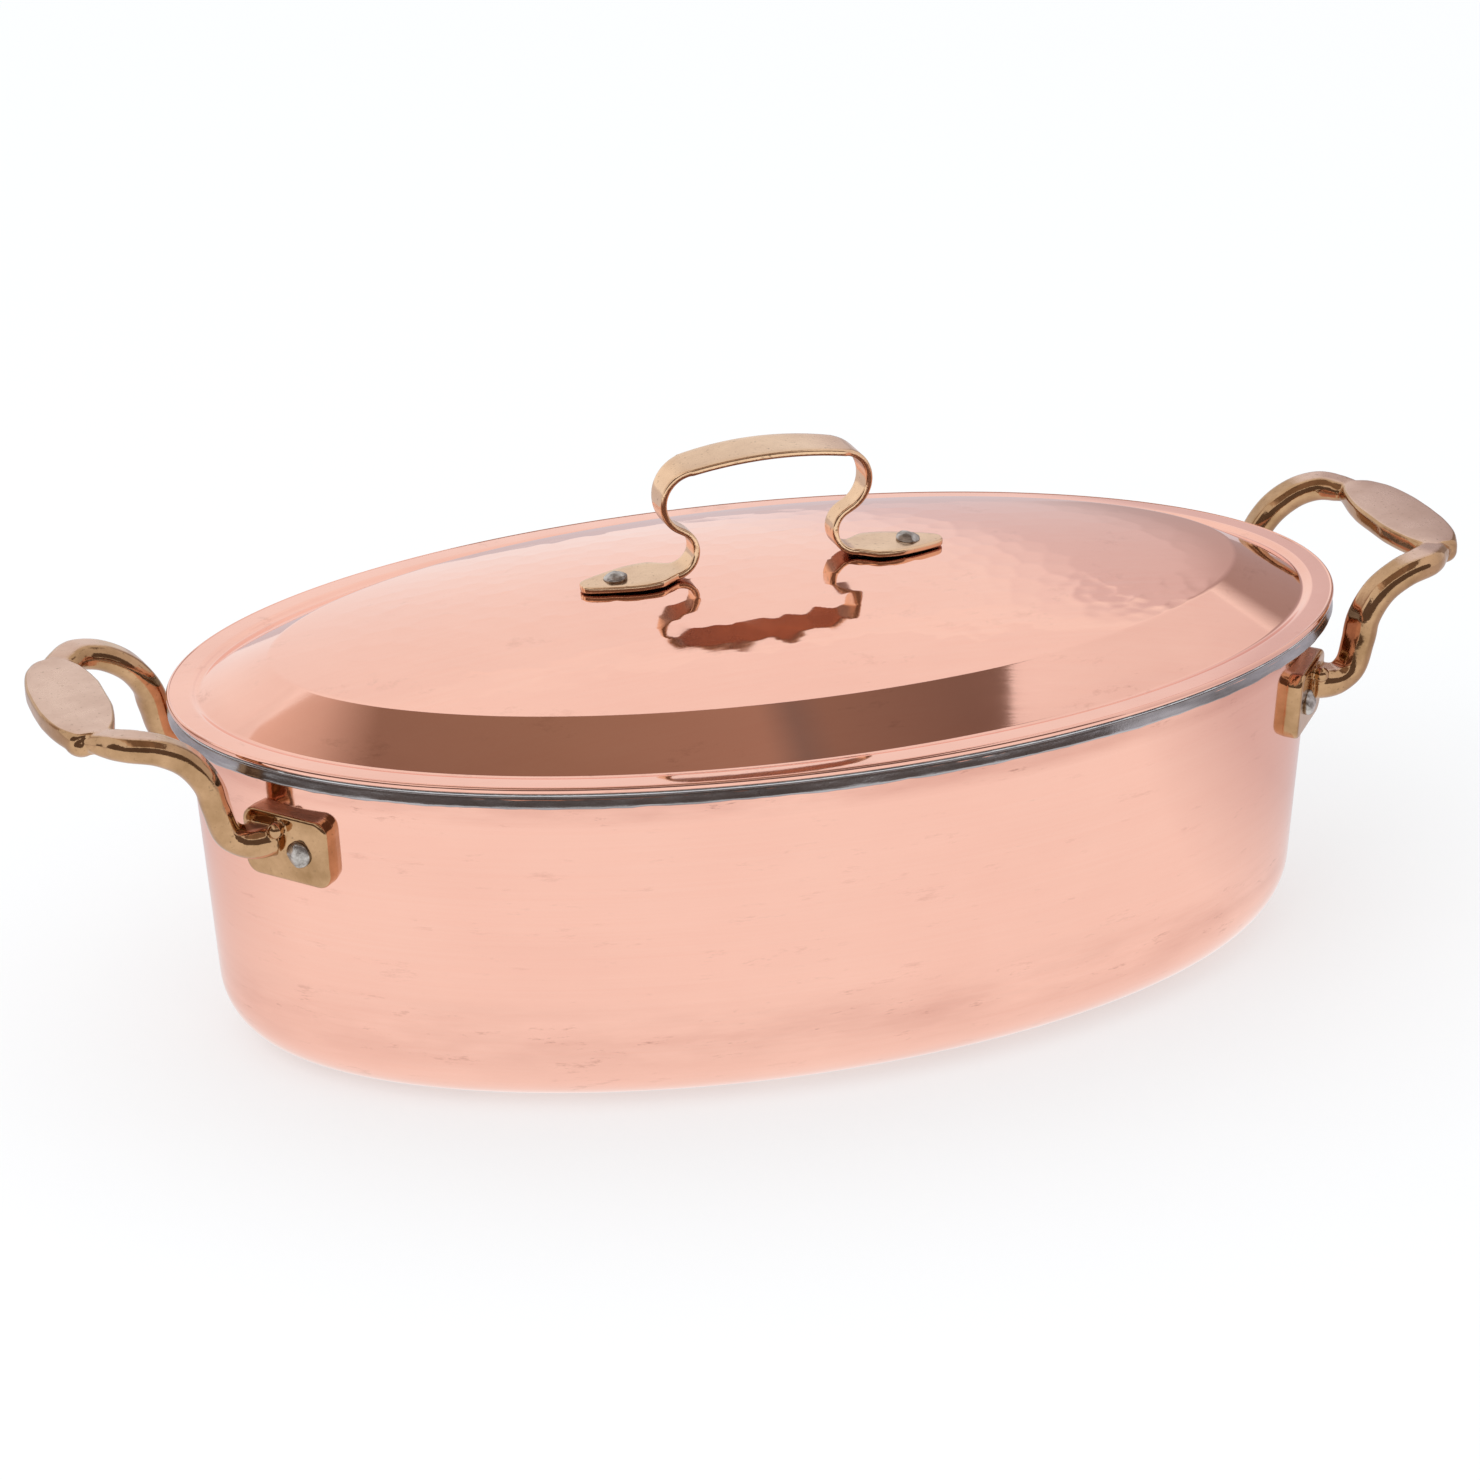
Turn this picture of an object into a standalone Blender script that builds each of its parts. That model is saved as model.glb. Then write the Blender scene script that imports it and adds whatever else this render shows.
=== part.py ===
"""Oval copper casserole pot: a tinned copper body, a domed copper lid, cast brass side handles
and a brass strap handle, all held by rivets.

The pot stands on z = 0 with its long axis along x. All lengths are in metres.
"""
import math

import bmesh
import bpy
from mathutils import Matrix, Vector

# Oval outline of the rim, over its tinned edge
RIM_LENGTH = 0.360
RIM_WIDTH = 0.213
OVAL_STEPS = 56

# Sheets, lining and the clearance between pieces that touch
POT_COPPER = 0.0024
LID_COPPER = 0.0020
TIN = 0.0004
SEAT_GAP = 0.0003

# Pot: height over the tinned rim, flange, tapered wall and rounded base
RIM_HEIGHT = 0.1053
RIM_OVERHANG = 0.0055
RIM_FILLET = 0.0020
WALL_LEAN = math.radians(3.9)
BASE_FILLET = 0.0218
TIN_LIP = 0.0012
FILLET_STEPS = 5
ROLL_STEPS = 3

# Lid: flat flange, groove, conical skirt up to a crease, shallow dome
LID_FLANGE = 0.0058
LID_EDGE_ROUND = 0.0006
GROOVE_INSET = 0.0095
GROOVE_DEPTH = 0.0014
GROOVE_STEPS = 3
CREASE_INSET = 0.0320
SKIRT_RISE = 0.0098
DOME_RISE = 0.0128
DOME_RING_SHARES = (0.84, 0.66, 0.47, 0.27, 0.09)

# Strap handle of the lid: a wide arch, narrow S-shaped legs and wide riveted feet.
# The radii and centres are those of its centre line.
STRAP_THICKNESS = 0.0020
STRAP_EDGE_ROUND = 0.0004
ARCH_RADIUS = 0.1193
ARCH_WIDTH = 0.0166
SHOULDER_WIDTH = 0.0150
BULGE_CENTRE_X = 0.0218
BULGE_RADIUS = 0.0102
LEG_RUN = 0.0020
LEG_WIDTH = 0.0076
CURL_CENTRE_X = 0.0285
CURL_RADIUS = 0.0068
CURL_WIDTH = 0.0100
FOOT_WIDTH = 0.0176
FOOT_TIP_X = 0.0565
FOOT_RIVET_X = 0.0458
ARCH_STEPS = 4
BEND_STEPS = 7
SLOW_BOW = 2.0
QUICK_BOW = 0.6
# Along the foot from the curl to its tip, and across it
FOOT_OUTLINE_SHARES = ((0.10, 0.78), (0.26, 1.00), (0.50, 0.95), (0.73, 0.73), (0.89, 0.50), (1.00, 0.20))

# Side handles: a riveted pad at each end of a round bar that widens to a flat grip
PAD_ANGLE = math.radians(26.0)
PAD_BELOW_FLANGE = 0.0087
PAD_LENGTH = 0.0290
PAD_HEIGHT = 0.0210
PAD_THICKNESS = 0.0033
PAD_CORNER = 0.0040
PAD_EDGE_ROUND = 0.0007
PAD_RIVET_BACK = 0.0050
PAD_RIVET_DROP = 0.0005
BAR_ROOT_FORWARD = 0.0067
BAR_ROOT_RISE = 0.0018
BAR_WIDTH = 0.0088
BAR_THICKNESS = 0.0080
GRIP_REACH = 0.0400
GRIP_ABOVE_RIM = 0.0127
GRIP_WIDTH = 0.0215
GRIP_THICKNESS = 0.0066
SECTION_POINTS = 14
SECTION_SQUARENESS = 2.7
PATH_STEPS = 2
# From the bar's root in the pad to the middle of the grip: the share of the way outward,
# toward the middle plane and upward, and how far the bar has widened into the grip
BAR_PATH_SHARES = (
    (0.000, 0.000, 0.000, 0.00),
    (0.148, -0.036, 0.006, 0.00),
    (0.257, -0.026, 0.114, 0.00),
    (0.307, -0.016, 0.347, 0.00),
    (0.352, 0.000, 0.584, 0.00),
    (0.463, 0.016, 0.808, 0.00),
    (0.620, 0.026, 0.953, 0.00),
    (0.774, 0.057, 1.009, 0.02),
    (0.888, 0.150, 1.009, 0.12),
    (0.958, 0.288, 1.003, 0.30),
    (0.988, 0.482, 1.000, 0.54),
    (0.999, 0.741, 1.000, 0.84),
    (1.000, 1.000, 1.000, 1.00),
)

# Rivets: a hammered head outside, a shank, and a flatter head inside
HEAD_RADIUS = 0.0035
HEAD_HEIGHT = 0.0020
PAD_HEAD_RADIUS = 0.0040
PAD_HEAD_HEIGHT = 0.0024
SHANK_RADIUS = 0.0020
INNER_HEAD_RADIUS = 0.0040
INNER_HEAD_HEIGHT = 0.0012
RIVET_STEPS = 16
HEAD_OUTLINE_SHARES = ((0.00, 1.00), (0.62, 0.94), (0.92, 0.70), (1.00, 0.30))

# Cutters run past what they cut by this much
OVERRUN = 0.0100

COPPER_COLOUR = (0.86, 0.47, 0.36, 1.0)
BRASS_COLOUR = (0.72, 0.53, 0.30, 1.0)
TIN_COLOUR = (0.46, 0.48, 0.53, 1.0)
RIVET_COLOUR = (0.34, 0.33, 0.32, 1.0)


def start_scene():
    for thing in list(bpy.data.objects):
        bpy.data.objects.remove(thing, do_unlink=True)
    parts = bpy.data.collections.new("oval_casserole_pot")
    cutters = bpy.data.collections.new("cutters")
    bpy.context.scene.collection.children.link(parts)
    bpy.context.scene.collection.children.link(cutters)
    return parts, cutters


def metal(name, colour, roughness):
    material = bpy.data.materials.new(name)
    material.use_nodes = True
    shader = material.node_tree.nodes["Principled BSDF"]
    shader.inputs["Base Color"].default_value = colour
    shader.inputs["Roughness"].default_value = roughness
    shader.inputs["Metallic"].default_value = 1.0
    return material


def add_object(name, bm, collection, material=None):
    mesh = bpy.data.meshes.new(name)
    bm.to_mesh(mesh)
    bm.free()
    mesh.shade_smooth()
    thing = bpy.data.objects.new(name, mesh)
    collection.objects.link(thing)
    if material:
        mesh.materials.append(material)
    return thing


def hide_cutter(thing):
    thing.hide_render = True
    thing.display_type = "WIRE"
    return thing


def solidify(thing, thickness, offset):
    wall = thing.modifiers.new("Sheet", "SOLIDIFY")
    wall.thickness = thickness
    wall.offset = offset
    wall.use_even_offset = True
    wall.use_quality_normals = True


def bevel(thing, width):
    edge = thing.modifiers.new("Edge", "BEVEL")
    edge.width = width
    edge.segments = 2
    edge.limit_method = "ANGLE"
    edge.angle_limit = math.radians(60)


def boolean(thing, other, operation):
    cut = thing.modifiers.new(other.name, "BOOLEAN")
    cut.operation = operation
    cut.solver = "EXACT"
    cut.object = other


# Oval outline

def outline_normal(angle):
    across = Vector((math.cos(angle) / RIM_LENGTH, math.sin(angle) / RIM_WIDTH, 0))
    return across.normalized()


def outline_point(angle, inset):
    rim = Vector((RIM_LENGTH / 2 * math.cos(angle), RIM_WIDTH / 2 * math.sin(angle), 0))
    return rim - outline_normal(angle) * inset


def oval_ring(bm, inset, height, share=1.0):
    ring = []
    for step in range(OVAL_STEPS):
        place = outline_point(math.tau * step / OVAL_STEPS, inset) * share
        place.z = height
        ring.append(bm.verts.new(place))
    return ring


def join_rings(bm, lower, upper):
    for step, start in enumerate(lower):
        after = (step + 1) % len(lower)
        bm.faces.new((start, lower[after], upper[after], upper[step]))


def loft(bm, rings):
    for lower, upper in zip(rings, rings[1:]):
        join_rings(bm, lower, upper)


# Pot body

def pot_underside_of_flange():
    return RIM_HEIGHT - TIN - SEAT_GAP - POT_COPPER


def wall_top():
    """Inset and height where the tapered wall meets the fillet under the flange."""
    return RIM_OVERHANG, pot_underside_of_flange() - RIM_FILLET * (1 - math.sin(WALL_LEAN))


def wall_inset(height):
    inset, top = wall_top()
    return inset + (top - height) * math.tan(WALL_LEAN)


def base_fillet_centre():
    """The inset of the base fillet's centre, whose height is the fillet's radius."""
    beside_wall = wall_inset(BASE_FILLET)
    return beside_wall + BASE_FILLET / math.cos(WALL_LEAN)


def pot_section(depth):
    """Inset and height along the surface at this depth inside the pot's outer face, upward."""
    section = []
    inset, height = base_fillet_centre(), BASE_FILLET
    radius = BASE_FILLET - depth
    for step in range(FILLET_STEPS + 1):
        angle = math.radians(90) + (WALL_LEAN - math.radians(90)) * step / FILLET_STEPS
        section.append((inset - radius * math.cos(angle), height - radius * math.sin(angle)))
    inset = RIM_OVERHANG - RIM_FILLET * math.cos(WALL_LEAN)
    height = pot_underside_of_flange() - RIM_FILLET
    radius = RIM_FILLET + depth
    for step in range(ROLL_STEPS + 1):
        angle = WALL_LEAN + (math.radians(90) - WALL_LEAN) * step / ROLL_STEPS
        section.append((inset + radius * math.cos(angle), height + radius * math.sin(angle)))
    return section


def shell_from_section(section):
    """An open surface through oval rings, closed by a flat face at its first ring."""
    bm = bmesh.new()
    rings = [oval_ring(bm, inset, height) for inset, height in section]
    loft(bm, rings)
    bm.faces.new(reversed(rings[0]))
    return bm


def make_pot_shell(parts, copper):
    section = pot_section(0)
    section.append((TIN + SEAT_GAP, pot_underside_of_flange()))
    pot = add_object("pot_shell", shell_from_section(section), parts, copper)
    solidify(pot, POT_COPPER, -1)
    return pot


def make_pot_lining(parts, tin):
    """Tin over the inside, the flange and its edge, with a lip under the flange."""
    section = pot_section(POT_COPPER + SEAT_GAP)
    top = RIM_HEIGHT - TIN
    under = pot_underside_of_flange() - SEAT_GAP
    section.append((TIN, top))
    section.append((TIN, under))
    section.append((TIN + SEAT_GAP + TIN_LIP, under))
    lining = add_object("pot_tin_lining", shell_from_section(section), parts, tin)
    solidify(lining, TIN, -1)
    return lining


# Lid

def lid_top():
    return RIM_HEIGHT + SEAT_GAP + TIN + SEAT_GAP + LID_COPPER


def crease_height():
    return lid_top() - GROOVE_DEPTH + SKIRT_RISE


def dome_top():
    return crease_height() + DOME_RISE


def lid_surface(edge_inset):
    bm = bmesh.new()
    rings = [oval_ring(bm, edge_inset, lid_top())]
    for step in range(GROOVE_STEPS + 1):
        turn = math.pi * step / GROOVE_STEPS
        inset = LID_FLANGE + (GROOVE_INSET - LID_FLANGE) * step / GROOVE_STEPS
        rings.append(oval_ring(bm, inset, lid_top() - GROOVE_DEPTH * (1 - math.cos(turn)) / 2))
    rings.append(oval_ring(bm, CREASE_INSET, crease_height()))
    for share in DOME_RING_SHARES:
        height = crease_height() + DOME_RISE * (1 - share ** 2)
        rings.append(oval_ring(bm, CREASE_INSET, height, share))
    loft(bm, rings)
    bm.faces.new(rings[-1])
    return bm


def dome_slope(x):
    """How steeply the dome falls along its long axis at x."""
    half_length = RIM_LENGTH / 2 - CREASE_INSET
    return math.atan(2 * DOME_RISE * x / half_length ** 2)


def dome_height(x):
    half_length = RIM_LENGTH / 2 - CREASE_INSET
    return dome_top() - DOME_RISE * (x / half_length) ** 2


def make_lid_shell(parts, copper):
    lid = add_object("lid_shell", lid_surface(0), parts, copper)
    solidify(lid, LID_COPPER, -1)
    bevel(lid, LID_EDGE_ROUND)
    return lid


def make_lid_lining(parts, tin):
    """The same surface, moved below the copper by its thickness and the seat gap."""
    lining = add_object("lid_tin_lining", lid_surface(LID_EDGE_ROUND), parts, tin)
    depth = LID_COPPER + SEAT_GAP
    solidify(lining, TIN, -1 - 2 * depth / TIN)
    return lining


# Strap handle of the lid

def mix(first, second, share):
    return first + (second - first) * share


def arc(centre, radius, first, last, steps):
    points = []
    for step in range(steps + 1):
        angle = first + (last - first) * step / steps
        points.append((centre[0] + radius * math.cos(angle), centre[1] + radius * math.sin(angle)))
    return points


def foot_seat():
    """Where the strap's centre line crosses the rivet, seated on the dome."""
    lift = SEAT_GAP + STRAP_THICKNESS / 2
    slope = dome_slope(FOOT_RIVET_X)
    return (FOOT_RIVET_X + lift * math.sin(slope), dome_height(FOOT_RIVET_X) + lift * math.cos(slope))


def strap_bends():
    """Centre of the arch, of the outward bulge and of the curl over the foot, for the right leg."""
    slope = dome_slope(FOOT_RIVET_X)
    seat_x, seat_z = foot_seat()
    curl_z = seat_z + (seat_x - CURL_CENTRE_X) * math.tan(slope) + CURL_RADIUS / math.cos(slope)
    apart = math.hypot(BULGE_RADIUS + CURL_RADIUS, LEG_RUN)
    bulge_z = curl_z + math.sqrt(apart ** 2 - (CURL_CENTRE_X - BULGE_CENTRE_X) ** 2)
    drop = math.sqrt((ARCH_RADIUS - BULGE_RADIUS) ** 2 - BULGE_CENTRE_X ** 2)
    return (0, bulge_z - drop), (BULGE_CENTRE_X, bulge_z), (CURL_CENTRE_X, curl_z)


def bend_stations(points, first, last, bow):
    """The points with half widths that go from the first width to the last. A bow over 1
    keeps the first width for longer."""
    run = len(points) - 1
    return [(x, z, mix(first, last, (step / run) ** bow) / 2) for step, (x, z) in enumerate(points)]


def strap_stations():
    """Places along the right half of the strap, with its half width at each."""
    slope = dome_slope(FOOT_RIVET_X)
    arch, bulge, curl = strap_bends()
    shoulder = math.acos(BULGE_CENTRE_X / (ARCH_RADIUS - BULGE_RADIUS))
    lean = math.atan2(curl[1] - bulge[1], curl[0] - bulge[0])
    leave = lean + math.atan2(LEG_RUN, BULGE_RADIUS + CURL_RADIUS)
    over = arc(arch, ARCH_RADIUS, math.radians(90), shoulder, ARCH_STEPS)
    down = arc(bulge, BULGE_RADIUS, shoulder, leave, BEND_STEPS)
    under = arc(curl, CURL_RADIUS, leave + math.pi, math.radians(270) - slope, BEND_STEPS)
    stations = bend_stations(over, ARCH_WIDTH, SHOULDER_WIDTH, SLOW_BOW)[:-1]
    stations += bend_stations(down, SHOULDER_WIDTH, LEG_WIDTH, QUICK_BOW)
    stations += bend_stations(under, LEG_WIDTH, CURL_WIDTH, SLOW_BOW)
    start_x, start_z, _ = stations[-1]
    for along, across in FOOT_OUTLINE_SHARES:
        run = (FOOT_TIP_X - start_x) * along
        stations.append((start_x + run, start_z - run * math.tan(slope), FOOT_WIDTH / 2 * across))
    return stations


def make_strap(parts, brass, holes):
    half = strap_stations()
    stations = [(-x, z, width) for x, z, width in reversed(half[1:])] + half
    bm = bmesh.new()
    near = [bm.verts.new((x, -width, z)) for x, z, width in stations]
    far = [bm.verts.new((x, width, z)) for x, z, width in stations]
    for step in range(len(stations) - 1):
        bm.faces.new((near[step], near[step + 1], far[step + 1], far[step]))
    strap = add_object("lid_handle", bm, parts, brass)
    solidify(strap, STRAP_THICKNESS, 0)
    bevel(strap, STRAP_EDGE_ROUND)
    boolean(strap, holes, "DIFFERENCE")
    return strap


# Side handles

def pad_middle_height():
    """The pads hang under the flange, so they keep their clearance to it."""
    _, top = wall_top()
    return top - PAD_BELOW_FLANGE - PAD_HEIGHT / 2 * math.cos(WALL_LEAN)


def pad_frame(end, side):
    """On the wall at a pad's middle: x along the wall, y up it, z out of it."""
    angle = math.atan2(side * math.sin(PAD_ANGLE), end * math.cos(PAD_ANGLE))
    height = pad_middle_height()
    place = outline_point(angle, wall_inset(height))
    place.z = height
    level = outline_normal(angle)
    along = Vector((-level.y, level.x, 0))
    outward = level * math.cos(WALL_LEAN) - Vector((0, 0, math.sin(WALL_LEAN)))
    upward = outward.cross(along)
    frame = Matrix((along, upward, outward)).transposed().to_4x4()
    frame.translation = place
    return frame


def pad_place(end, side, ahead, rise, out):
    """A place counted from a pad's middle toward the pot's nearer end, up and outward."""
    return pad_frame(end, side) @ Vector((-end * side * ahead, rise, out))


def add_pad(bm, end, side):
    """A rounded plate that starts inside the wall, to be trimmed to it."""
    depth = PAD_THICKNESS + SEAT_GAP + OVERRUN
    lift = Matrix.Translation((0, 0, SEAT_GAP + PAD_THICKNESS - depth / 2))
    size = Matrix.Diagonal((PAD_LENGTH, PAD_HEIGHT, depth, 1))
    plate = bmesh.new()
    bmesh.ops.create_cube(plate, size=1, matrix=size)
    corners = [edge for edge in plate.edges if edge.verts[0].co.xy == edge.verts[1].co.xy]
    bmesh.ops.bevel(plate, geom=corners, offset=PAD_CORNER, segments=3, profile=0.5, affect="EDGES")
    face = [edge for edge in plate.edges if all(vert.co.z > 0 for vert in edge.verts)]
    bmesh.ops.bevel(plate, geom=face, offset=PAD_EDGE_ROUND, segments=1, profile=0.5, affect="EDGES")
    bmesh.ops.transform(plate, matrix=pad_frame(end, side) @ lift, verts=plate.verts)
    mesh = bpy.data.meshes.new("pad")
    plate.to_mesh(mesh)
    plate.free()
    bm.from_mesh(mesh)
    bpy.data.meshes.remove(mesh)


def smooth_path(rows, steps):
    """Points through the rows, as a Catmull-Rom curve with this many steps between two rows."""
    path = []
    for row in range(len(rows) - 1):
        before = rows[max(row - 1, 0)]
        after = rows[min(row + 2, len(rows) - 1)]
        for step in range(steps):
            t = step / steps
            path.append(tuple(
                ((2 * b) + (c - a) * t + (2 * a - 5 * b + 4 * c - d) * t ** 2
                 + (3 * b - a - 3 * c + d) * t ** 3) / 2
                for a, b, c, d in zip(before, rows[row], rows[row + 1], after)))
    path.append(tuple(rows[-1]))
    return path


def bar_rows():
    """Centre line of the right handle from its front pad to its back pad, with the widening."""
    root = pad_place(1, -1, BAR_ROOT_FORWARD, BAR_ROOT_RISE, SEAT_GAP + PAD_THICKNESS / 2)
    middle_x = RIM_LENGTH / 2 + GRIP_REACH - GRIP_WIDTH / 2
    middle_z = RIM_HEIGHT + GRIP_ABOVE_RIM - GRIP_THICKNESS / 2
    front = []
    for out, inward, up, spread in BAR_PATH_SHARES:
        x = mix(root.x, middle_x, out)
        y = mix(root.y, 0, inward)
        z = mix(root.z, middle_z, up)
        front.append((x, y, z, spread))
    back = [(x, -y, z, spread) for x, y, z, spread in reversed(front[:-1])]
    return front + back


def section_offset(step):
    """Across and up, from -1 to 1, of a point of the rounded bar section."""
    angle = math.tau * step / SECTION_POINTS
    across = math.copysign(abs(math.cos(angle)) ** (2 / SECTION_SQUARENESS), math.cos(angle))
    up = math.copysign(abs(math.sin(angle)) ** (2 / SECTION_SQUARENESS), math.sin(angle))
    return across, up


def bar_section(bm, place, heading, spread):
    """A ring square to the heading, whose width lies level."""
    across = heading.cross(Vector((0, 0, 1))).normalized()
    upward = across.cross(heading).normalized()
    width = mix(BAR_WIDTH, GRIP_WIDTH, spread)
    thickness = mix(BAR_THICKNESS, GRIP_THICKNESS, spread)
    ring = []
    for step in range(SECTION_POINTS):
        side, top = section_offset(step)
        ring.append(bm.verts.new(place + across * side * width / 2 + upward * top * thickness / 2))
    return ring


def make_bar(bm):
    path = smooth_path(bar_rows(), PATH_STEPS)
    places = [Vector(row[:3]) for row in path]
    rings = []
    for step, row in enumerate(path):
        heading = places[min(step + 1, len(places) - 1)] - places[max(step - 1, 0)]
        rings.append(bar_section(bm, places[step], heading.normalized(), row[3]))
    loft(bm, rings)
    bm.faces.new(reversed(rings[0]))
    bm.faces.new(rings[-1])
    bmesh.ops.recalc_face_normals(bm, faces=bm.faces)


def make_wall_cutter(cutters):
    """The pot's wall grown by the seat gap, where the pads rest on it."""
    bm = bmesh.new()
    middle = pad_middle_height()
    rings = []
    for height in (middle - PAD_HEIGHT, middle + PAD_HEIGHT):
        rings.append(oval_ring(bm, wall_inset(height) - SEAT_GAP / math.cos(WALL_LEAN), height))
    loft(bm, rings)
    bm.faces.new(reversed(rings[0]))
    bm.faces.new(rings[-1])
    return hide_cutter(add_object("wall_cutter", bm, cutters))


def make_side_handles(parts, cutters, brass, holes):
    """The right handle, and the same mesh turned half a turn for the left."""
    bm = bmesh.new()
    make_bar(bm)
    right = add_object("side_handle_right", bm, parts, brass)
    left = bpy.data.objects.new("side_handle_left", right.data)
    left.rotation_euler = (0, 0, math.pi)
    parts.objects.link(left)
    pads = bmesh.new()
    for end in (-1, 1):
        for side in (-1, 1):
            add_pad(pads, end, side)
    plates = hide_cutter(add_object("pads", pads, cutters))
    wall = make_wall_cutter(cutters)
    for handle, end in ((right, 1), (left, -1)):
        near = half_space(cutters, end)
        boolean(handle, plates, "UNION")
        boolean(handle, wall, "DIFFERENCE")
        boolean(handle, near, "DIFFERENCE")
        boolean(handle, holes, "DIFFERENCE")


def half_space(cutters, end):
    """A block over the other end of the pot, which removes that end's pads."""
    bm = bmesh.new()
    size = (RIM_LENGTH / 2 + OVERRUN, RIM_WIDTH + OVERRUN, RIM_HEIGHT + OVERRUN)
    place = Matrix.Translation((-end * size[0] / 2, 0, RIM_HEIGHT / 2))
    bmesh.ops.create_cube(bm, size=1, matrix=place @ Matrix.Diagonal((*size, 1)))
    name = "far_end_right" if end > 0 else "far_end_left"
    return hide_cutter(add_object(name, bm, cutters))


# Rivets

def add_rivet(name, frame, head, grip, parts, steel):
    """A turned rivet with its head above the frame's origin and its shank down the -z axis."""
    radius, height = head
    bm = bmesh.new()
    profile = [(radius * out, SEAT_GAP + height * up) for out, up in HEAD_OUTLINE_SHARES]
    profile.append((radius, SEAT_GAP))
    profile.append((SHANK_RADIUS, SEAT_GAP))
    bottom = -grip - SEAT_GAP
    profile.append((SHANK_RADIUS, bottom))
    profile.append((INNER_HEAD_RADIUS, bottom))
    for out, up in reversed(HEAD_OUTLINE_SHARES):
        profile.append((INNER_HEAD_RADIUS * out, bottom - INNER_HEAD_HEIGHT * up))
    verts = [bm.verts.new((x, 0, z)) for x, z in profile]
    for first, second in zip(verts, verts[1:]):
        bm.edges.new((first, second))
    rivet = add_object(name, bm, parts, steel)
    rivet.matrix_world = frame
    turn = rivet.modifiers.new("Turn", "SCREW")
    turn.axis = "Z"
    turn.steps = RIVET_STEPS
    turn.render_steps = RIVET_STEPS
    turn.use_merge_vertices = True
    turn.merge_threshold = SEAT_GAP / 10
    return rivet


def add_hole(bm, frame):
    """A cylinder round a rivet's shank, wider by the seat gap."""
    length = OVERRUN * 2
    bmesh.ops.create_cone(
        bm, cap_ends=True, segments=RIVET_STEPS, radius1=SHANK_RADIUS + SEAT_GAP,
        radius2=SHANK_RADIUS + SEAT_GAP, depth=length, matrix=frame)


def lid_rivet_frame(side):
    """On the foot's upper face, square to it."""
    slope = dome_slope(FOOT_RIVET_X)
    lift = SEAT_GAP + STRAP_THICKNESS
    x = FOOT_RIVET_X + lift * math.sin(slope)
    z = dome_height(FOOT_RIVET_X) + lift * math.cos(slope)
    return Matrix.Translation((side * x, 0, z)) @ Matrix.Rotation(side * slope, 4, "Y")


def wall_fall(reach):
    """How far the wall, with its flat steps, falls behind a pad's plane at this distance along."""
    long_way = RIM_LENGTH / 2 * math.sin(PAD_ANGLE)
    short_way = RIM_WIDTH / 2 * math.cos(PAD_ANGLE)
    stride = math.hypot(long_way, short_way)
    curve_radius = stride ** 3 / (RIM_LENGTH / 2 * RIM_WIDTH / 2)
    step = stride * math.tau / OVAL_STEPS
    return (reach ** 2 / 2 + step ** 2 / 8) / curve_radius


def pad_rivet_frame(end, side):
    frame = pad_frame(end, side)
    frame.translation = pad_place(end, side, -PAD_RIVET_BACK, -PAD_RIVET_DROP, SEAT_GAP + PAD_THICKNESS)
    return frame


def main():
    parts, cutters = start_scene()
    copper = metal("polished_copper", COPPER_COLOUR, 0.16)
    brass = metal("brass", BRASS_COLOUR, 0.28)
    tin = metal("tin", TIN_COLOUR, 0.42)
    steel = metal("rivet_metal", RIVET_COLOUR, 0.45)

    lid_frames = {"left": lid_rivet_frame(-1), "right": lid_rivet_frame(1)}
    pad_frames = {
        f"{across}_{depth}": pad_rivet_frame(end, side)
        for across, end in (("left", -1), ("right", 1))
        for depth, side in (("front", -1), ("back", 1))}

    lid_holes = bmesh.new()
    for frame in lid_frames.values():
        add_hole(lid_holes, frame)
    lid_holes = hide_cutter(add_object("lid_rivet_holes", lid_holes, cutters))
    pad_holes = bmesh.new()
    for frame in pad_frames.values():
        add_hole(pad_holes, frame)
    pad_holes = hide_cutter(add_object("pad_rivet_holes", pad_holes, cutters))

    for shell in (make_pot_shell(parts, copper), make_pot_lining(parts, tin)):
        boolean(shell, pad_holes, "DIFFERENCE")
    for shell in (make_lid_shell(parts, copper), make_lid_lining(parts, tin)):
        boolean(shell, lid_holes, "DIFFERENCE")
    make_strap(parts, brass, lid_holes)
    make_side_handles(parts, cutters, brass, pad_holes)

    lid_grip = STRAP_THICKNESS + SEAT_GAP + LID_COPPER + SEAT_GAP + TIN
    for where, frame in lid_frames.items():
        add_rivet(f"lid_rivet_{where}", frame, (HEAD_RADIUS, HEAD_HEIGHT), lid_grip, parts, steel)
    pad_grip = PAD_THICKNESS + SEAT_GAP + POT_COPPER + SEAT_GAP + TIN
    pad_grip += wall_fall(PAD_RIVET_BACK + INNER_HEAD_RADIUS)
    for where, frame in pad_frames.items():
        head = (PAD_HEAD_RADIUS, PAD_HEAD_HEIGHT)
        add_rivet(f"handle_rivet_{where}", frame, head, pad_grip, parts, steel)


main()
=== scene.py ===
"""The looks of the oval copper casserole pot: polished copper, wiped tin, brass and rivets.

Lengths are in metres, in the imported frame: x along the oval, y away from the front, z up.
"""
import math
import random

import bmesh
import bpy
from mathutils import Matrix, Vector, noise
from mathutils.kdtree import KDTree


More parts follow.
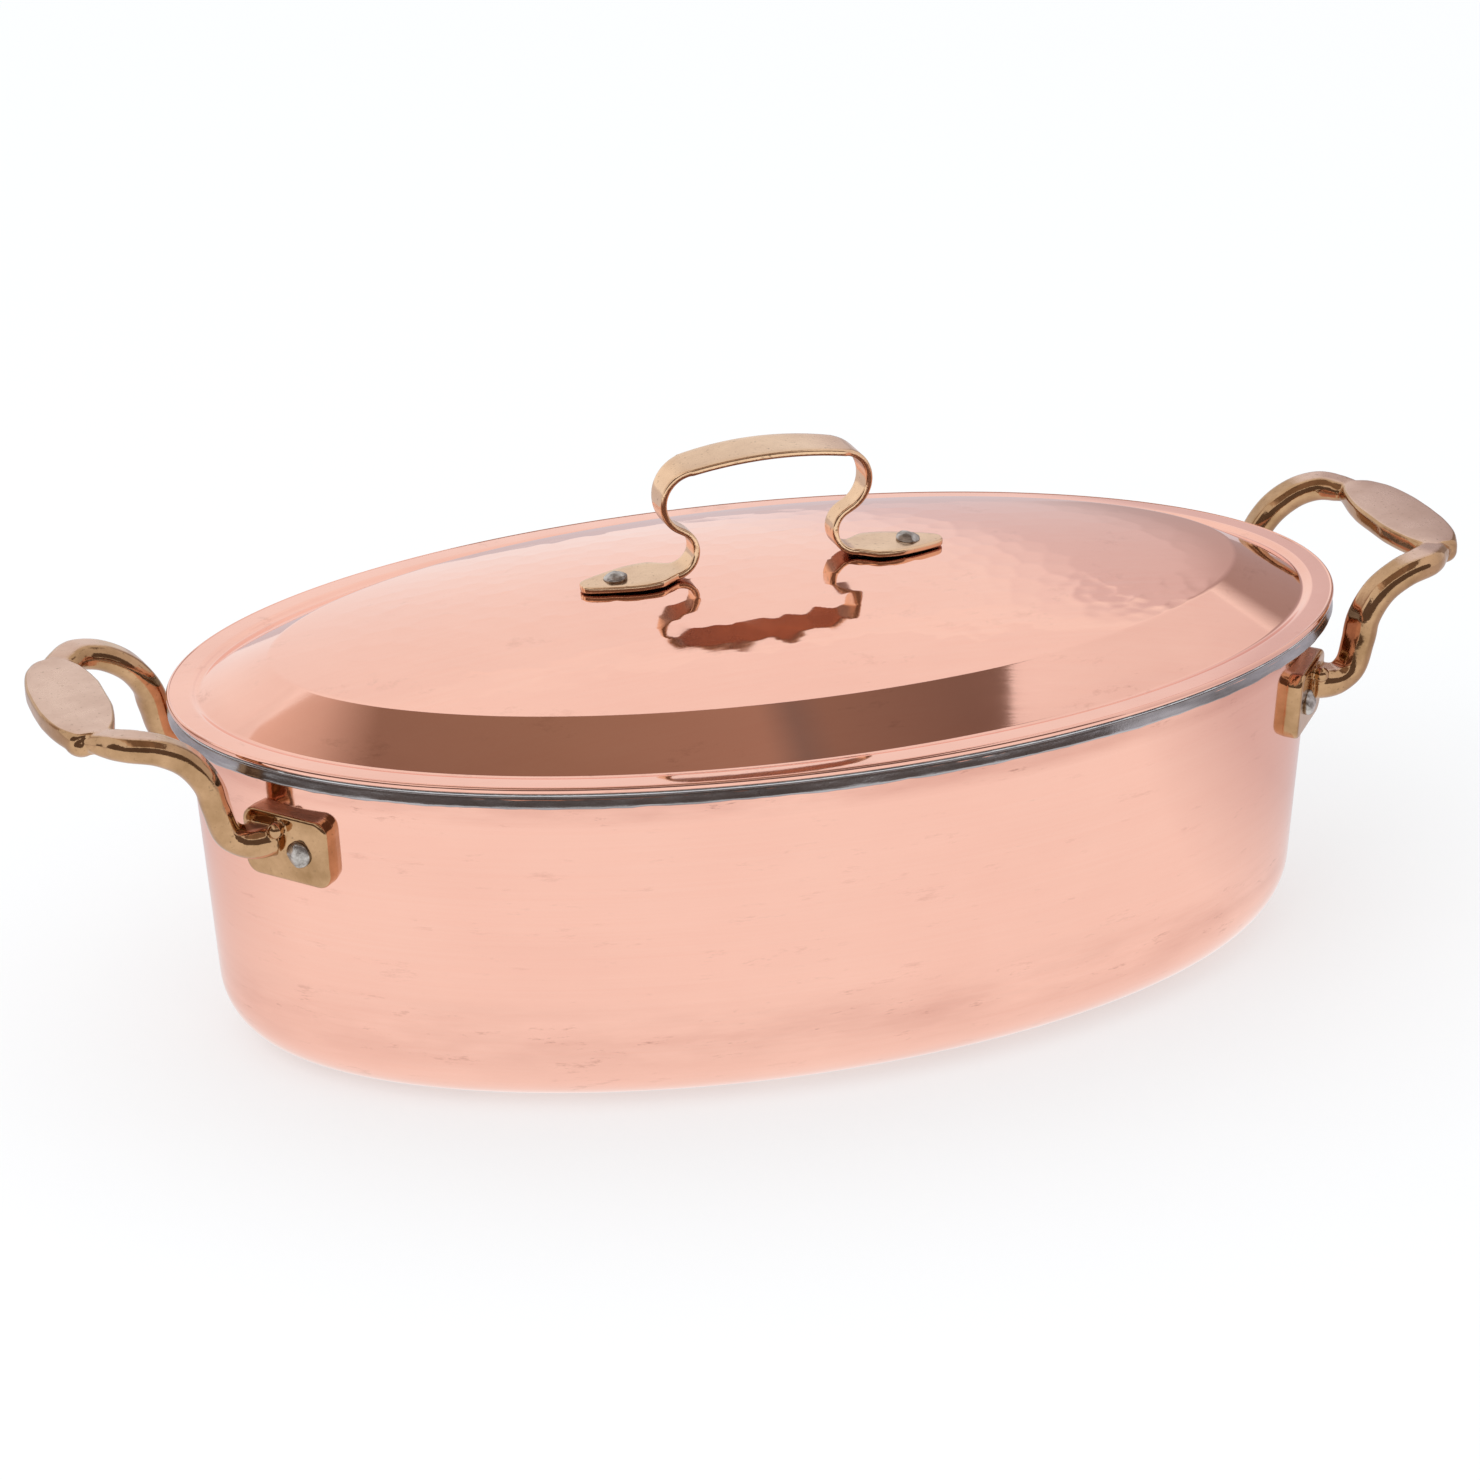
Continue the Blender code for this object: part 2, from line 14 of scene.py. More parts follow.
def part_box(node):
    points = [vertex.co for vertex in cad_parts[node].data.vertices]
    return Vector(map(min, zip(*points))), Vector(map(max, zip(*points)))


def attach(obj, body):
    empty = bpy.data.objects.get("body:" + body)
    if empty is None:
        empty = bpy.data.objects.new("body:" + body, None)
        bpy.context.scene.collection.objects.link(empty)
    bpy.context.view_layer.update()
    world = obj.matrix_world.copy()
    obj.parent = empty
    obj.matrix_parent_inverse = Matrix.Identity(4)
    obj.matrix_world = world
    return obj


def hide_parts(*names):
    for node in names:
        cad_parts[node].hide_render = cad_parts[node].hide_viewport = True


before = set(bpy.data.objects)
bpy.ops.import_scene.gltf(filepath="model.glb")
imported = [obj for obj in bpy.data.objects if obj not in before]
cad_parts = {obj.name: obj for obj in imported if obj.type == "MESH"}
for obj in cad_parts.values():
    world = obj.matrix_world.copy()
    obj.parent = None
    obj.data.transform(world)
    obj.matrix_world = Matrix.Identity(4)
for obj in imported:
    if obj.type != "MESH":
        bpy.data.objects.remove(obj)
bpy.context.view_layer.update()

# Sizes read from the frame
_, rim_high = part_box("pot_tin_lining")
_, lid_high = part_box("lid_shell")
_, grip_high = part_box("side_handle_right")
HALF_LENGTH, HALF_WIDTH, RIM_TOP = rim_high
DOME_TOP = lid_high.z
GRIP_END = grip_high.x
GRIP_ABOVE_RIM = 0.0127
GRIP_TOP = RIM_TOP + GRIP_ABOVE_RIM

# Sheets and seats
POT_COPPER = 0.0024
LID_COPPER = 0.0020
TIN = 0.0004
SEAT_GAP = 0.0003

# Pot
RIM_OVERHANG = 0.0055
RIM_FILLET = 0.0020
WALL_LEAN = math.radians(3.9)
BASE_FILLET = 0.0218
BAND_ROUND = 0.0007
BAND_TOP_ROUND = 0.0004
BAND_LEAN = 0.0007
BAND_LIP = 0.0012

# Lid
LID_EDGE_ROUND = 0.0009
LID_FLANGE = 0.0064
GROOVE_INSET = 0.0095
GROOVE_DEPTH = 0.0009
CREASE_INSET = 0.0300
DOME_RISE = 0.0119
DENT_SPACING = 0.0080
DENT_HOLLOW = 3.2
RIPPLE_SPACING = 0.0042
RIPPLE_HOLLOW = 14.0
RIPPLE_STRETCH = 0.6
RIPPLE_CENTRE = Vector((0.103, -0.040, 0))
RIPPLE_REACH = Vector((0.034, 0.022, 1))

# Strap handle
STRAP_THICKNESS = 0.0020
STRAP_EDGE = 0.0006
ARCH_RADIUS = 0.1193
BULGE_CENTRE_X = 0.0218
BULGE_RADIUS = 0.0102
LEG_RUN = 0.0020
CURL_CENTRE_X = 0.0285
CURL_RADIUS = 0.0068
FOOT_TIP_X = 0.0565
FOOT_RIVET_X = 0.0458

OVAL_STEPS = 420


# Oval outline

def outline_normal(angle):
    return Vector((math.cos(angle) / HALF_LENGTH, math.sin(angle) / HALF_WIDTH, 0)).normalized()


def outline_point(angle, inset, height=0.0, share=1.0):
    rim = Vector((HALF_LENGTH * math.cos(angle), HALF_WIDTH * math.sin(angle), 0))
    place = (rim - outline_normal(angle) * inset) * share
    place.z = height
    return place


def arc(centre, radius, first, last, steps):
    """Points from one angle to another round a centre in a plane."""
    turns = [first + (last - first) * step / steps for step in range(steps + 1)]
    return [(centre[0] + radius * math.cos(t), centre[1] + radius * math.sin(t)) for t in turns]


def mix(first, second, share):
    return first + (second - first) * share


def smooth_step(low, high, value):
    t = min(max((value - low) / (high - low), 0.0), 1.0)
    return t * t * (3 - 2 * t)


def spread_points(section, spacing):
    """The section with points added so that none lie further apart than the spacing."""
    out = [section[0]]
    for (x0, z0), (x1, z1) in zip(section, section[1:]):
        count = max(1, math.ceil(math.hypot(x1 - x0, z1 - z0) / spacing))
        out += [(mix(x0, x1, k / count), mix(z0, z1, k / count)) for k in range(1, count + 1)]
    return out


# Meshes

def new_piece(name, bm, material, body, slot, *nodes):
    """A piece that rides on its body, stands for its nodes and takes its finish from its material; the slot is
    not used.
    """
    bmesh.ops.recalc_face_normals(bm, faces=bm.faces)
    mesh = bpy.data.meshes.new(name)
    bm.to_mesh(mesh)
    bm.free()
    mesh.shade_smooth()
    mesh.materials.append(material)
    piece = bpy.data.objects.new(name, mesh)
    bpy.context.scene.collection.objects.link(piece)
    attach(piece, body)
    if nodes:
        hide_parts(*nodes)


def loft(bm, rings, closed=True):
    """Faces between rings of vertices."""
    for lower, upper in zip(rings, rings[1:]):
        count = len(lower)
        for step in range(count if closed else count - 1):
            after = (step + 1) % count
            bm.faces.new((lower[step], lower[after], upper[after], upper[step]))


def oval_rings(section, wobble=None):
    """A lofted shell through oval rings. Each section row is (inset, height) or (inset, height, share)."""
    bm = bmesh.new()
    rings = []
    for row in section:
        ring = []
        for step in range(OVAL_STEPS):
            place = outline_point(math.tau * step / OVAL_STEPS, *row)
            if wobble:
                place += wobble(place)
            ring.append(bm.verts.new(place))
        rings.append(ring)
    loft(bm, rings)
    return bm, rings


def cap(bm, ring, height):
    """A flat fan over a ring."""
    centre = bm.verts.new((0, 0, height))
    for step, vert in enumerate(ring):
        bm.faces.new((vert, ring[(step + 1) % len(ring)], centre))


# Materials

def shader_tree(name):
    material = bpy.data.materials.new(name)
    material.use_nodes = True
    return material, material.node_tree.nodes, material.node_tree.links


def noise_node(nodes, links, place, scale, detail=3.0, roughness=0.5):
    texture = nodes.new("ShaderNodeTexNoise")
    texture.inputs["Scale"].default_value = scale
    texture.inputs["Detail"].default_value = detail
    texture.inputs["Roughness"].default_value = roughness
    links.new(place, texture.inputs["Vector"])
    return texture.outputs["Fac"]


def stretched(nodes, links, place, scale):
    """Coordinates scaled apart along x, y and z, for marks that run one way."""
    mapping = nodes.new("ShaderNodeMapping")
    mapping.inputs["Scale"].default_value = scale
    links.new(place, mapping.inputs["Vector"])
    return mapping.outputs["Vector"]


def ramp(nodes, links, value, *stops):
    """A colour ramp: each stop is a position and a grey or a colour."""
    node = nodes.new("ShaderNodeValToRGB")
    while len(node.color_ramp.elements) < len(stops):
        node.color_ramp.elements.new(0.5)
    for element, (position, colour) in zip(node.color_ramp.elements, stops):
        element.position = position
        element.color = (colour, colour, colour, 1) if isinstance(colour, float) else (*colour, 1)
    links.new(value, node.inputs["Fac"])
    return node.outputs["Color"]


def blend_colours(nodes, links, share, first, second, mode="MIX"):
    node = nodes.new("ShaderNodeMix")
    node.data_type = "RGBA"
    node.blend_type = mode
    if isinstance(share, float):
        node.inputs[0].default_value = share
    else:
        links.new(share, node.inputs[0])
    for socket, value in ((node.inputs[6], first), (node.inputs[7], second)):
        if isinstance(value, tuple):
            socket.default_value = (*value, 1)
        else:
            links.new(value, socket)
    return node.outputs[2]


def math_node(nodes, links, operation, *values):
    node = nodes.new("ShaderNodeMath")
    node.operation = operation
    for socket, value in zip(node.inputs, values):
        if isinstance(value, float):
            socket.default_value = value
        else:
            links.new(value, socket)
    return node.outputs[0]


def split_parts(nodes, links, place):
    """The X, Y and Z of a place or a direction."""
    node = nodes.new("ShaderNodeSeparateXYZ")
    links.new(place, node.inputs["Vector"])
    return node.outputs


def bump(nodes, links, height, distance, strength=1.0, below=None):
    node = nodes.new("ShaderNodeBump")
    node.inputs["Distance"].default_value = distance
    node.inputs["Strength"].default_value = strength
    links.new(height, node.inputs["Height"])
    if below:
        links.new(below, node.inputs["Normal"])
    return node.outputs["Normal"]


def object_place(nodes):
    return nodes.new("ShaderNodeTexCoord").outputs["Object"]


def copper(name, tone, dark_tone, base_roughness, brush_scale, stain, heights):
    """Polished copper: a pale salmon metal with fine brushing, faint clouds and a few stains.

    The heights are ramp stops over 0.2 m: how much of the stains and smears shows at each height, as oxide stains
    and, on the body, as painted shade.
    """
    material, nodes, links = shader_tree(name)
    shader = nodes["Principled BSDF"]
    shader.inputs["Metallic"].default_value = 1.0
    place = object_place(nodes)
    clouds = noise_node(nodes, links, place, 14.0, 4.0, 0.6)
    streaks = noise_node(nodes, links, stretched(nodes, links, place, brush_scale), 1.0, 4.0, 0.65)
    marks = noise_node(nodes, links, stretched(nodes, links, place, (55, 55, 240)), 1.0, 6.0, 0.75)
    smears = noise_node(nodes, links, stretched(nodes, links, place, (16, 16, 70)), 1.0, 4.0, 0.6)
    height = math_node(nodes, links, "MULTIPLY", split_parts(nodes, links, place)["Z"], 5.0)
    tarnish_and_shade = ramp(nodes, links, height, *heights)
    colour = blend_colours(
        nodes, links, ramp(nodes, links, clouds, (0.30, 0.0), (0.75, 1.0)), tone, dark_tone)
    # These smears and the dark marks below are oxide stains, and at the body's foot and under its flange they are
    # painted shade.
    smear_and_shade_share = math_node(
        nodes, links, "MULTIPLY", tarnish_and_shade, ramp(nodes, links, smears, (0.36, 0.0), (0.72, 1.0)))
    colour = blend_colours(nodes, links, smear_and_shade_share, colour, (0.66, 0.33, 0.26))
    fine_share = ramp(nodes, links, streaks, (0.35, 0.0), (0.75, 0.07))
    colour = blend_colours(nodes, links, fine_share, colour, dark_tone, "MULTIPLY")
    mark_and_shade_share = ramp(nodes, links, marks, (0.595, 0.0), (0.71, stain))
    mark_and_shade_share = math_node(nodes, links, "MULTIPLY", mark_and_shade_share, math_node(nodes, links, "ADD", tarnish_and_shade, 0.15))
    colour = blend_colours(nodes, links, mark_and_shade_share, colour, (0.30, 0.13, 0.09))
    links.new(colour, shader.inputs["Base Color"])
    rough = ramp(
        nodes, links, streaks, (0.25, base_roughness * 0.8), (0.8, base_roughness * 1.25))
    links.new(rough, shader.inputs["Roughness"])
    links.new(bump(nodes, links, streaks, 0.00001, 0.35), shader.inputs["Normal"])
    return material


def brass(name, tones, base_roughness, grain, other_tones, other_roughness, *facing):
    """Brass: tan gold with fine polishing marks, small cast pits and dull oxide in the clouds.

    The other tones and roughness take over where the faces turn up or down. The ramp stops in facing
    say how much, from 0 for a face that looks down to 1 for one that looks up.
    """
    material, nodes, links = shader_tree(name)
    shader = nodes["Principled BSDF"]
    shader.inputs["Metallic"].default_value = 1.0
    place = object_place(nodes)
    clouds = noise_node(nodes, links, place, 90.0, 5.0, 0.62)
    pits = noise_node(nodes, links, place, 900.0, 2.0, 0.5)
    lines = noise_node(nodes, links, stretched(nodes, links, place, grain), 1.0, 3.0, 0.6)
    facing_up = split_parts(nodes, links, nodes.new("ShaderNodeTexCoord").outputs["Normal"])["Z"]
    share = ramp(nodes, links, math_node(nodes, links, "MULTIPLY_ADD", facing_up, 0.5, 0.5), *facing)
    cloud_share = ramp(nodes, links, clouds, (0.36, 0.0), (0.72, 1.0))
    colour = blend_colours(
        nodes, links, share, blend_colours(nodes, links, cloud_share, *tones),
        blend_colours(nodes, links, cloud_share, *other_tones))
    pit_share = ramp(nodes, links, pits, (0.64, 0.0), (0.76, 0.65))
    colour = blend_colours(nodes, links, pit_share, colour, (0.24, 0.15, 0.08))
    links.new(colour, shader.inputs["Base Color"])
    rough = [
        ramp(nodes, links, clouds, (0.3, value * 0.8), (0.8, value * 1.3))
        for value in (base_roughness, other_roughness)]
    links.new(blend_colours(nodes, links, share, *rough), shader.inputs["Roughness"])
    fine = bump(nodes, links, lines, 0.00002, 0.4)
    links.new(bump(nodes, links, pits, 0.00005, 0.5, fine), shader.inputs["Normal"])
    return material


def tin(name, tone, dark_tone, base_roughness):
    """Wiped tin: soft grey with cloudy wipes and small pits."""
    material, nodes, links = shader_tree(name)
    shader = nodes["Principled BSDF"]
    shader.inputs["Metallic"].default_value = 1.0
    place = object_place(nodes)
    wipes = noise_node(nodes, links, stretched(nodes, links, place, (25, 25, 160)), 1.0, 5.0, 0.65)
    grit = noise_node(nodes, links, place, 700.0, 3.0, 0.6)
    colour = blend_colours(
        nodes, links, ramp(nodes, links, wipes, (0.3, 0.0), (0.75, 1.0)), tone, dark_tone)
    grit_share = ramp(nodes, links, grit, (0.66, 0.0), (0.78, 0.6))
    colour = blend_colours(nodes, links, grit_share, colour, (0.12, 0.11, 0.12))
    links.new(colour, shader.inputs["Base Color"])
    rough = ramp(nodes, links, wipes, (0.3, base_roughness * 0.8), (0.75, base_roughness * 1.25))
    links.new(rough, shader.inputs["Roughness"])
    soft = bump(nodes, links, wipes, 0.0002, 0.3)
    links.new(bump(nodes, links, grit, 0.00006, 0.4, soft), shader.inputs["Normal"])
    return material


def rivet_metal(name):
    """Hammered rivet metal: grey, clouded darker and lighter at random."""
    material, nodes, links = shader_tree(name)
    shader = nodes["Principled BSDF"]
    shader.inputs["Metallic"].default_value = 1.0
    place = object_place(nodes)
    clouds = noise_node(nodes, links, place, 420.0, 4.0, 0.6)
    colour = blend_colours(
        nodes, links, ramp(nodes, links, clouds, (0.38, 0.0), (0.62, 1.0)),
        (0.60, 0.57, 0.54), (0.24, 0.21, 0.19))
    links.new(colour, shader.inputs["Base Color"])
    links.new(ramp(nodes, links, clouds, (0.3, 0.26), (0.7, 0.42)), shader.inputs["Roughness"])
    links.new(bump(nodes, links, clouds, 0.0002, 0.5), shader.inputs["Normal"])
    return material


# Ramp stops over 0.2 m of height: how much of the stains and smears shows. On the body the full share at the foot
# is a painted contact shadow with some oxide, and the rise just under the flange is painted shade.
BODY_TARNISH_AND_SHADE = (
    (0.0, 1.0), (0.012, 0.40), (0.05, 0.12), (0.12, 0.60),
    (0.19, 0.08), (0.465, 0.05), (0.485, 0.7), (0.53, 1.0))
LID_TARNISH = ((0.50, 0.35), (0.545, 0.25), (0.56, 0.12), (0.65, 0.08))
COPPER_BODY = copper(
    "copper_body", (0.96, 0.575, 0.465), (0.94, 0.54, 0.435), 0.085, (9, 9, 1500), 0.8, BODY_TARNISH_AND_SHADE)
COPPER_LID = copper(
    "copper_lid", (0.965, 0.575, 0.46), (0.95, 0.55, 0.44), 0.055, (40, 600, 40), 0.6, LID_TARNISH)
BRASS_CAST = brass(
    "brass_cast", ((0.58, 0.36, 0.20), (0.36, 0.21, 0.10)), 0.11, (300, 300, 300),
    ((0.70, 0.49, 0.385), (0.58, 0.39, 0.30)), 0.30, (0.955, 0.0), (0.99, 1.0))
# On the strap the other, dark brown tones are painted shade on faces that look down, and at part share they dull
# faces that look up.
BRASS_STRAP = brass(
    "brass_strap", ((0.92, 0.63, 0.40), (0.80, 0.53, 0.33)), 0.15, (60, 1600, 60),
    ((0.40, 0.27, 0.19), (0.28, 0.18, 0.13)), 0.25, (0.28, 1.0), (0.36, 0.0), (0.88, 0.0), (0.98, 0.30))
TIN_RIM = tin("tin_rim", (0.52, 0.505, 0.52), (0.17, 0.155, 0.15), 0.18)
TIN_INSIDE = tin("tin_inside", (0.70, 0.70, 0.71), (0.55, 0.55, 0.57), 0.36)
RIVETS = rivet_metal("rivet_steel")


# Pot

def flange_underside():
    return RIM_TOP - TIN - SEAT_GAP - POT_COPPER


def wall_inset(height):
    top = flange_underside() - RIM_FILLET * (1 - math.sin(WALL_LEAN))
    return RIM_OVERHANG + (top - height) * math.tan(WALL_LEAN)


def pot_section(depth):
    """Inset and height up the wall, at this depth inside the outer face."""
    centre = wall_inset(BASE_FILLET) + BASE_FILLET / math.cos(WALL_LEAN)
    radius = BASE_FILLET - depth
    turns = [math.radians(90) + (WALL_LEAN - math.radians(90)) * step / 20 for step in range(21)]
    section = [(centre - radius * math.cos(t), BASE_FILLET - radius * math.sin(t)) for t in turns]
    inset = RIM_OVERHANG - RIM_FILLET * math.cos(WALL_LEAN)
    height = flange_underside() - RIM_FILLET
    radius = RIM_FILLET + depth
    return section + arc((inset, height), radius, WALL_LEAN, math.radians(90), 10)


def hand_worked(size, amount):
    """Slight unevenness of sheet that was shaped by hand, level with the surface's place."""
    def wobble(place):
        if place.z < BASE_FILLET / 8:
            return Vector()
        outward = Vector((place.x / HALF_LENGTH ** 2, place.y / HALF_WIDTH ** 2, 0)).normalized()
        return outward * noise.noise(place / size) * amount
    return wobble


def make_pot_copper():
    outer = spread_points(pot_section(0), 0.004)
    edge = TIN + SEAT_GAP
    outer += [(edge + POT_COPPER / 4, flange_underside()), (edge, flange_underside() + POT_COPPER / 4)]
    inner = spread_points(pot_section(POT_COPPER), 0.006)
    inner += [(edge, flange_underside() + POT_COPPER)]
    bm, rings = oval_rings(outer + list(reversed(inner)), hand_worked(0.045, 0.00010))
    cap(bm, rings[0], 0.0)
    cap(bm, rings[-1], POT_COPPER)
    new_piece("pot_body_copper", bm, COPPER_BODY, "pot", "copper", "pot_shell")


def make_pot_tin():
    """The wiped lining and, over the flange, its band, whose face leans back."""
    depth = POT_COPPER + SEAT_GAP
    under = flange_underside() - SEAT_GAP - TIN
    inside = spread_points(pot_section(depth + TIN), 0.005)
    bm, rings = oval_rings(inside + [(BAND_LIP * 2, RIM_TOP)])
    cap(bm, rings[0], depth + TIN)
    bmesh.ops.reverse_faces(bm, faces=bm.faces)
    new_piece("pot_lining_tin", bm, TIN_INSIDE, "pot", "tin", "pot_tin_lining")
    top_inset = BAND_LEAN + BAND_TOP_ROUND
    band = [(BAND_LIP * 2, RIM_TOP)]
    face, over, below = math.radians(165), math.radians(90), math.radians(270)
    band += arc((top_inset, RIM_TOP - BAND_TOP_ROUND), BAND_TOP_ROUND, over, face, 5)
    band += arc((BAND_ROUND, under + BAND_ROUND), BAND_ROUND, face, below, 7)
    band += [(BAND_LIP * 2, under), (BAND_LIP * 2, under + TIN), (BAND_LIP, under + TIN * 2)]
    band = spread_points(band, 0.0009)
    bm, rings = oval_rings(band, uneven_band)
    loft(bm, [rings[-1], rings[0]])
    new_piece("pot_rim_band_tin", bm, TIN_RIM, "pot", "tin")


def uneven_band(place):
    """The band's lower edge wanders, and its face is lumpy."""
    low = smooth_step(RIM_TOP - 0.0015, RIM_TOP - 0.0035, place.z)
    inward = -Vector((place.x / HALF_LENGTH ** 2, place.y / HALF_WIDTH ** 2, 0)).normalized()
    lift = 0.00045 * low * (0.6 + noise.noise(place / 0.009)) + 0.0002 * low * noise.noise(place / 0.0025)
    dent = 0.00008 * (1 + noise.noise(place / 0.004))
    return inward * dent + Vector((0, 0, max(lift, 0)))


# Lid

LID_TOP = RIM_TOP + SEAT_GAP + TIN + SEAT_GAP + LID_COPPER
CREASE_HEIGHT = DOME_TOP - DOME_RISE
DOME_REACH_X = HALF_LENGTH - CREASE_INSET
DOME_REACH_Y = HALF_WIDTH - CREASE_INSET
FLANGE_STEPS = 24
SKIRT_STEPS = 32
DOME_STEPS = 150
DOME_UNDERSIDE_STEPS = 12
DOME_TIN_STEPS = 16


def lid_rows(depth):
    """Rows of inset, height and share from the flange's edge in to the middle, at this depth."""
    rows = [(LID_EDGE_ROUND, LID_TOP - depth, 1.0)]
    for step in range(FLANGE_STEPS + 1):
        inset = mix(LID_EDGE_ROUND, GROOVE_INSET, step / FLANGE_STEPS)
        crown = -0.0002 * (1 - min(inset / LID_FLANGE, 1.0)) ** 2
        turn = math.pi * min(max((inset - LID_FLANGE) / (GROOVE_INSET - LID_FLANGE), 0.0), 1.0)
        drop = GROOVE_DEPTH * (1 - math.cos(turn)) / 2
        rows.append((inset, LID_TOP + crown - drop - depth, 1.0))
    low = LID_TOP - GROOVE_DEPTH
    for step in range(1, SKIRT_STEPS + 1):
        inset = mix(GROOVE_INSET, CREASE_INSET, step / SKIRT_STEPS)
        rows.append((inset, mix(low, CREASE_HEIGHT, step / SKIRT_STEPS) - depth, 1.0))
    return rows


def dome_rows(depth, count):
    rows = []
    for step in range(1, count):
        share = 1 - step / count
        height = CREASE_HEIGHT + DOME_RISE * (1 - share ** 2) - depth
        rows.append((CREASE_INSET, height, share))
    return rows


def hammer_marks(spacing, seed):
    """Seeded places of the hammer's blows over the dome, and how deep each is."""
    rng = random.Random(seed)
    columns = math.ceil(DOME_REACH_X / spacing) + 1
    lines = math.ceil(DOME_REACH_Y / spacing) + 1
    blows = []
    for column in range(-columns, columns + 1):
        for line in range(-lines, lines + 1):
            shift = 0.5 * (line % 2)
            x = (column + shift + rng.uniform(-0.34, 0.34)) * spacing
            y = (line + rng.uniform(-0.34, 0.34)) * spacing
            blows.append((x, y, rng.uniform(0.6, 1.3)))
    tree = KDTree(len(blows))
    for index, (x, y, _) in enumerate(blows):
        tree.insert((x, y, 0), index)
    tree.balance()
    return tree, blows


def dent_height(marks, hollow, place):
    """The height over a facet's middle, which rises to a ridge between two blows."""
    tree, blows = marks
    (_, first, d1), (_, second, d2) = tree.find_n((place.x, place.y, 0), 2)
    h1 = hollow * blows[first][2] * d1 ** 2
    h2 = hollow * blows[second][2] * d2 ** 2
    return mix((h1 + h2) / 2, h1, smooth_step(0.0, 0.0005, d2 - d1))


def planished():
    """The dome's shallow facets, which fade toward the crease, and finer ripples in one part."""
    large = hammer_marks(DENT_SPACING, 7)
    small = hammer_marks(RIPPLE_SPACING, 19)

    def wobble(place):
        share = math.hypot(place.x / DOME_REACH_X, place.y / DOME_REACH_Y)
        if share > 0.985:
            return Vector()
        fade = (1 - smooth_step(0.80, 0.985, share)) * (1 - 0.6 * smooth_step(0.04, 0.09, place.x))
        height = (dent_height(large, DENT_HOLLOW, place) - DENT_HOLLOW * (DENT_SPACING / 2) ** 2) * fade
        off = place - RIPPLE_CENTRE
        away = math.hypot(off.x / RIPPLE_REACH.x, off.y / RIPPLE_REACH.y)
        if away < 1:
            along = Vector((place.x * RIPPLE_STRETCH, place.y, 0))
            height += dent_height(small, RIPPLE_HOLLOW, along) * (1 - smooth_step(0.3, 1.0, away))
        return Vector((0, 0, height))
    return wobble


def make_lid_copper():
    low = LID_TOP - LID_COPPER
    edge = []
    for height, turn in ((low + LID_EDGE_ROUND, 270), (LID_TOP - LID_EDGE_ROUND, 180)):
        centre = (LID_EDGE_ROUND, height)
        edge += arc(centre, LID_EDGE_ROUND, math.radians(turn), math.radians(turn - 90), 5)
    under = list(reversed(lid_rows(LID_COPPER)))
    top = lid_rows(0)[1:] + dome_rows(0, DOME_STEPS)
    lower = list(reversed(dome_rows(LID_COPPER, DOME_UNDERSIDE_STEPS)))
    section = lower + under + [(x, z, 1.0) for x, z in edge] + top
    marks = planished()

    def top_only(place):
        surface = CREASE_HEIGHT - LID_COPPER / 2
        return marks(place) if place.z > surface and place.z > dome_floor(place) else Vector()
    bm, rings = oval_rings(section, top_only)
    cap(bm, rings[0], DOME_TOP - LID_COPPER)
    cap(bm, rings[-1], rings[-1][0].co.z)
    new_piece("lid_copper", bm, COPPER_LID, "lid", "copper", "lid_shell")


def dome_floor(place):
    """Half way down through the dome's copper at this place."""
    share = math.hypot(place.x / DOME_REACH_X, place.y / DOME_REACH_Y)
    return CREASE_HEIGHT + DOME_RISE * (1 - min(share, 1.0) ** 2) - LID_COPPER / 2


def make_lid_tin():
    depth = LID_COPPER + SEAT_GAP
    top = lid_rows(depth) + dome_rows(depth, DOME_TIN_STEPS)
    under = lid_rows(depth + TIN) + dome_rows(depth + TIN, DOME_TIN_STEPS)
    bm, rings = oval_rings(list(reversed(top)) + under)
    cap(bm, rings[0], DOME_TOP - depth)
    cap(bm, rings[-1], DOME_TOP - depth - TIN)
    new_piece("lid_lining_tin", bm, TIN_INSIDE, "lid", "tin", "lid_tin_lining")


# Strap handle

def dome_slope(x):
    return math.atan(2 * DOME_RISE * x / DOME_REACH_X ** 2)


def dome_height(x):
    return DOME_TOP - DOME_RISE * (x / DOME_REACH_X) ** 2


# Half widths along the strap: at the arch's top, its shoulder, the narrow of the leg and the curl
ARCH_HALF = 0.0083
SHOULDER_HALF = 0.0075
LEG_HALF = 0.0037
CURL_HALF = 0.0050
FOOT_HALF = 0.0088
# Along the foot from the curl to its tip, and across it
FOOT_SHARES = (
    (0.00, 0.57), (0.08, 0.74), (0.17, 0.94), (0.24, 1.00), (0.36, 1.00), (0.47, 0.95),
    (0.60, 0.83), (0.74, 0.68), (0.88, 0.50), (0.95, 0.38), (0.99, 0.24), (1.00, 0.10))


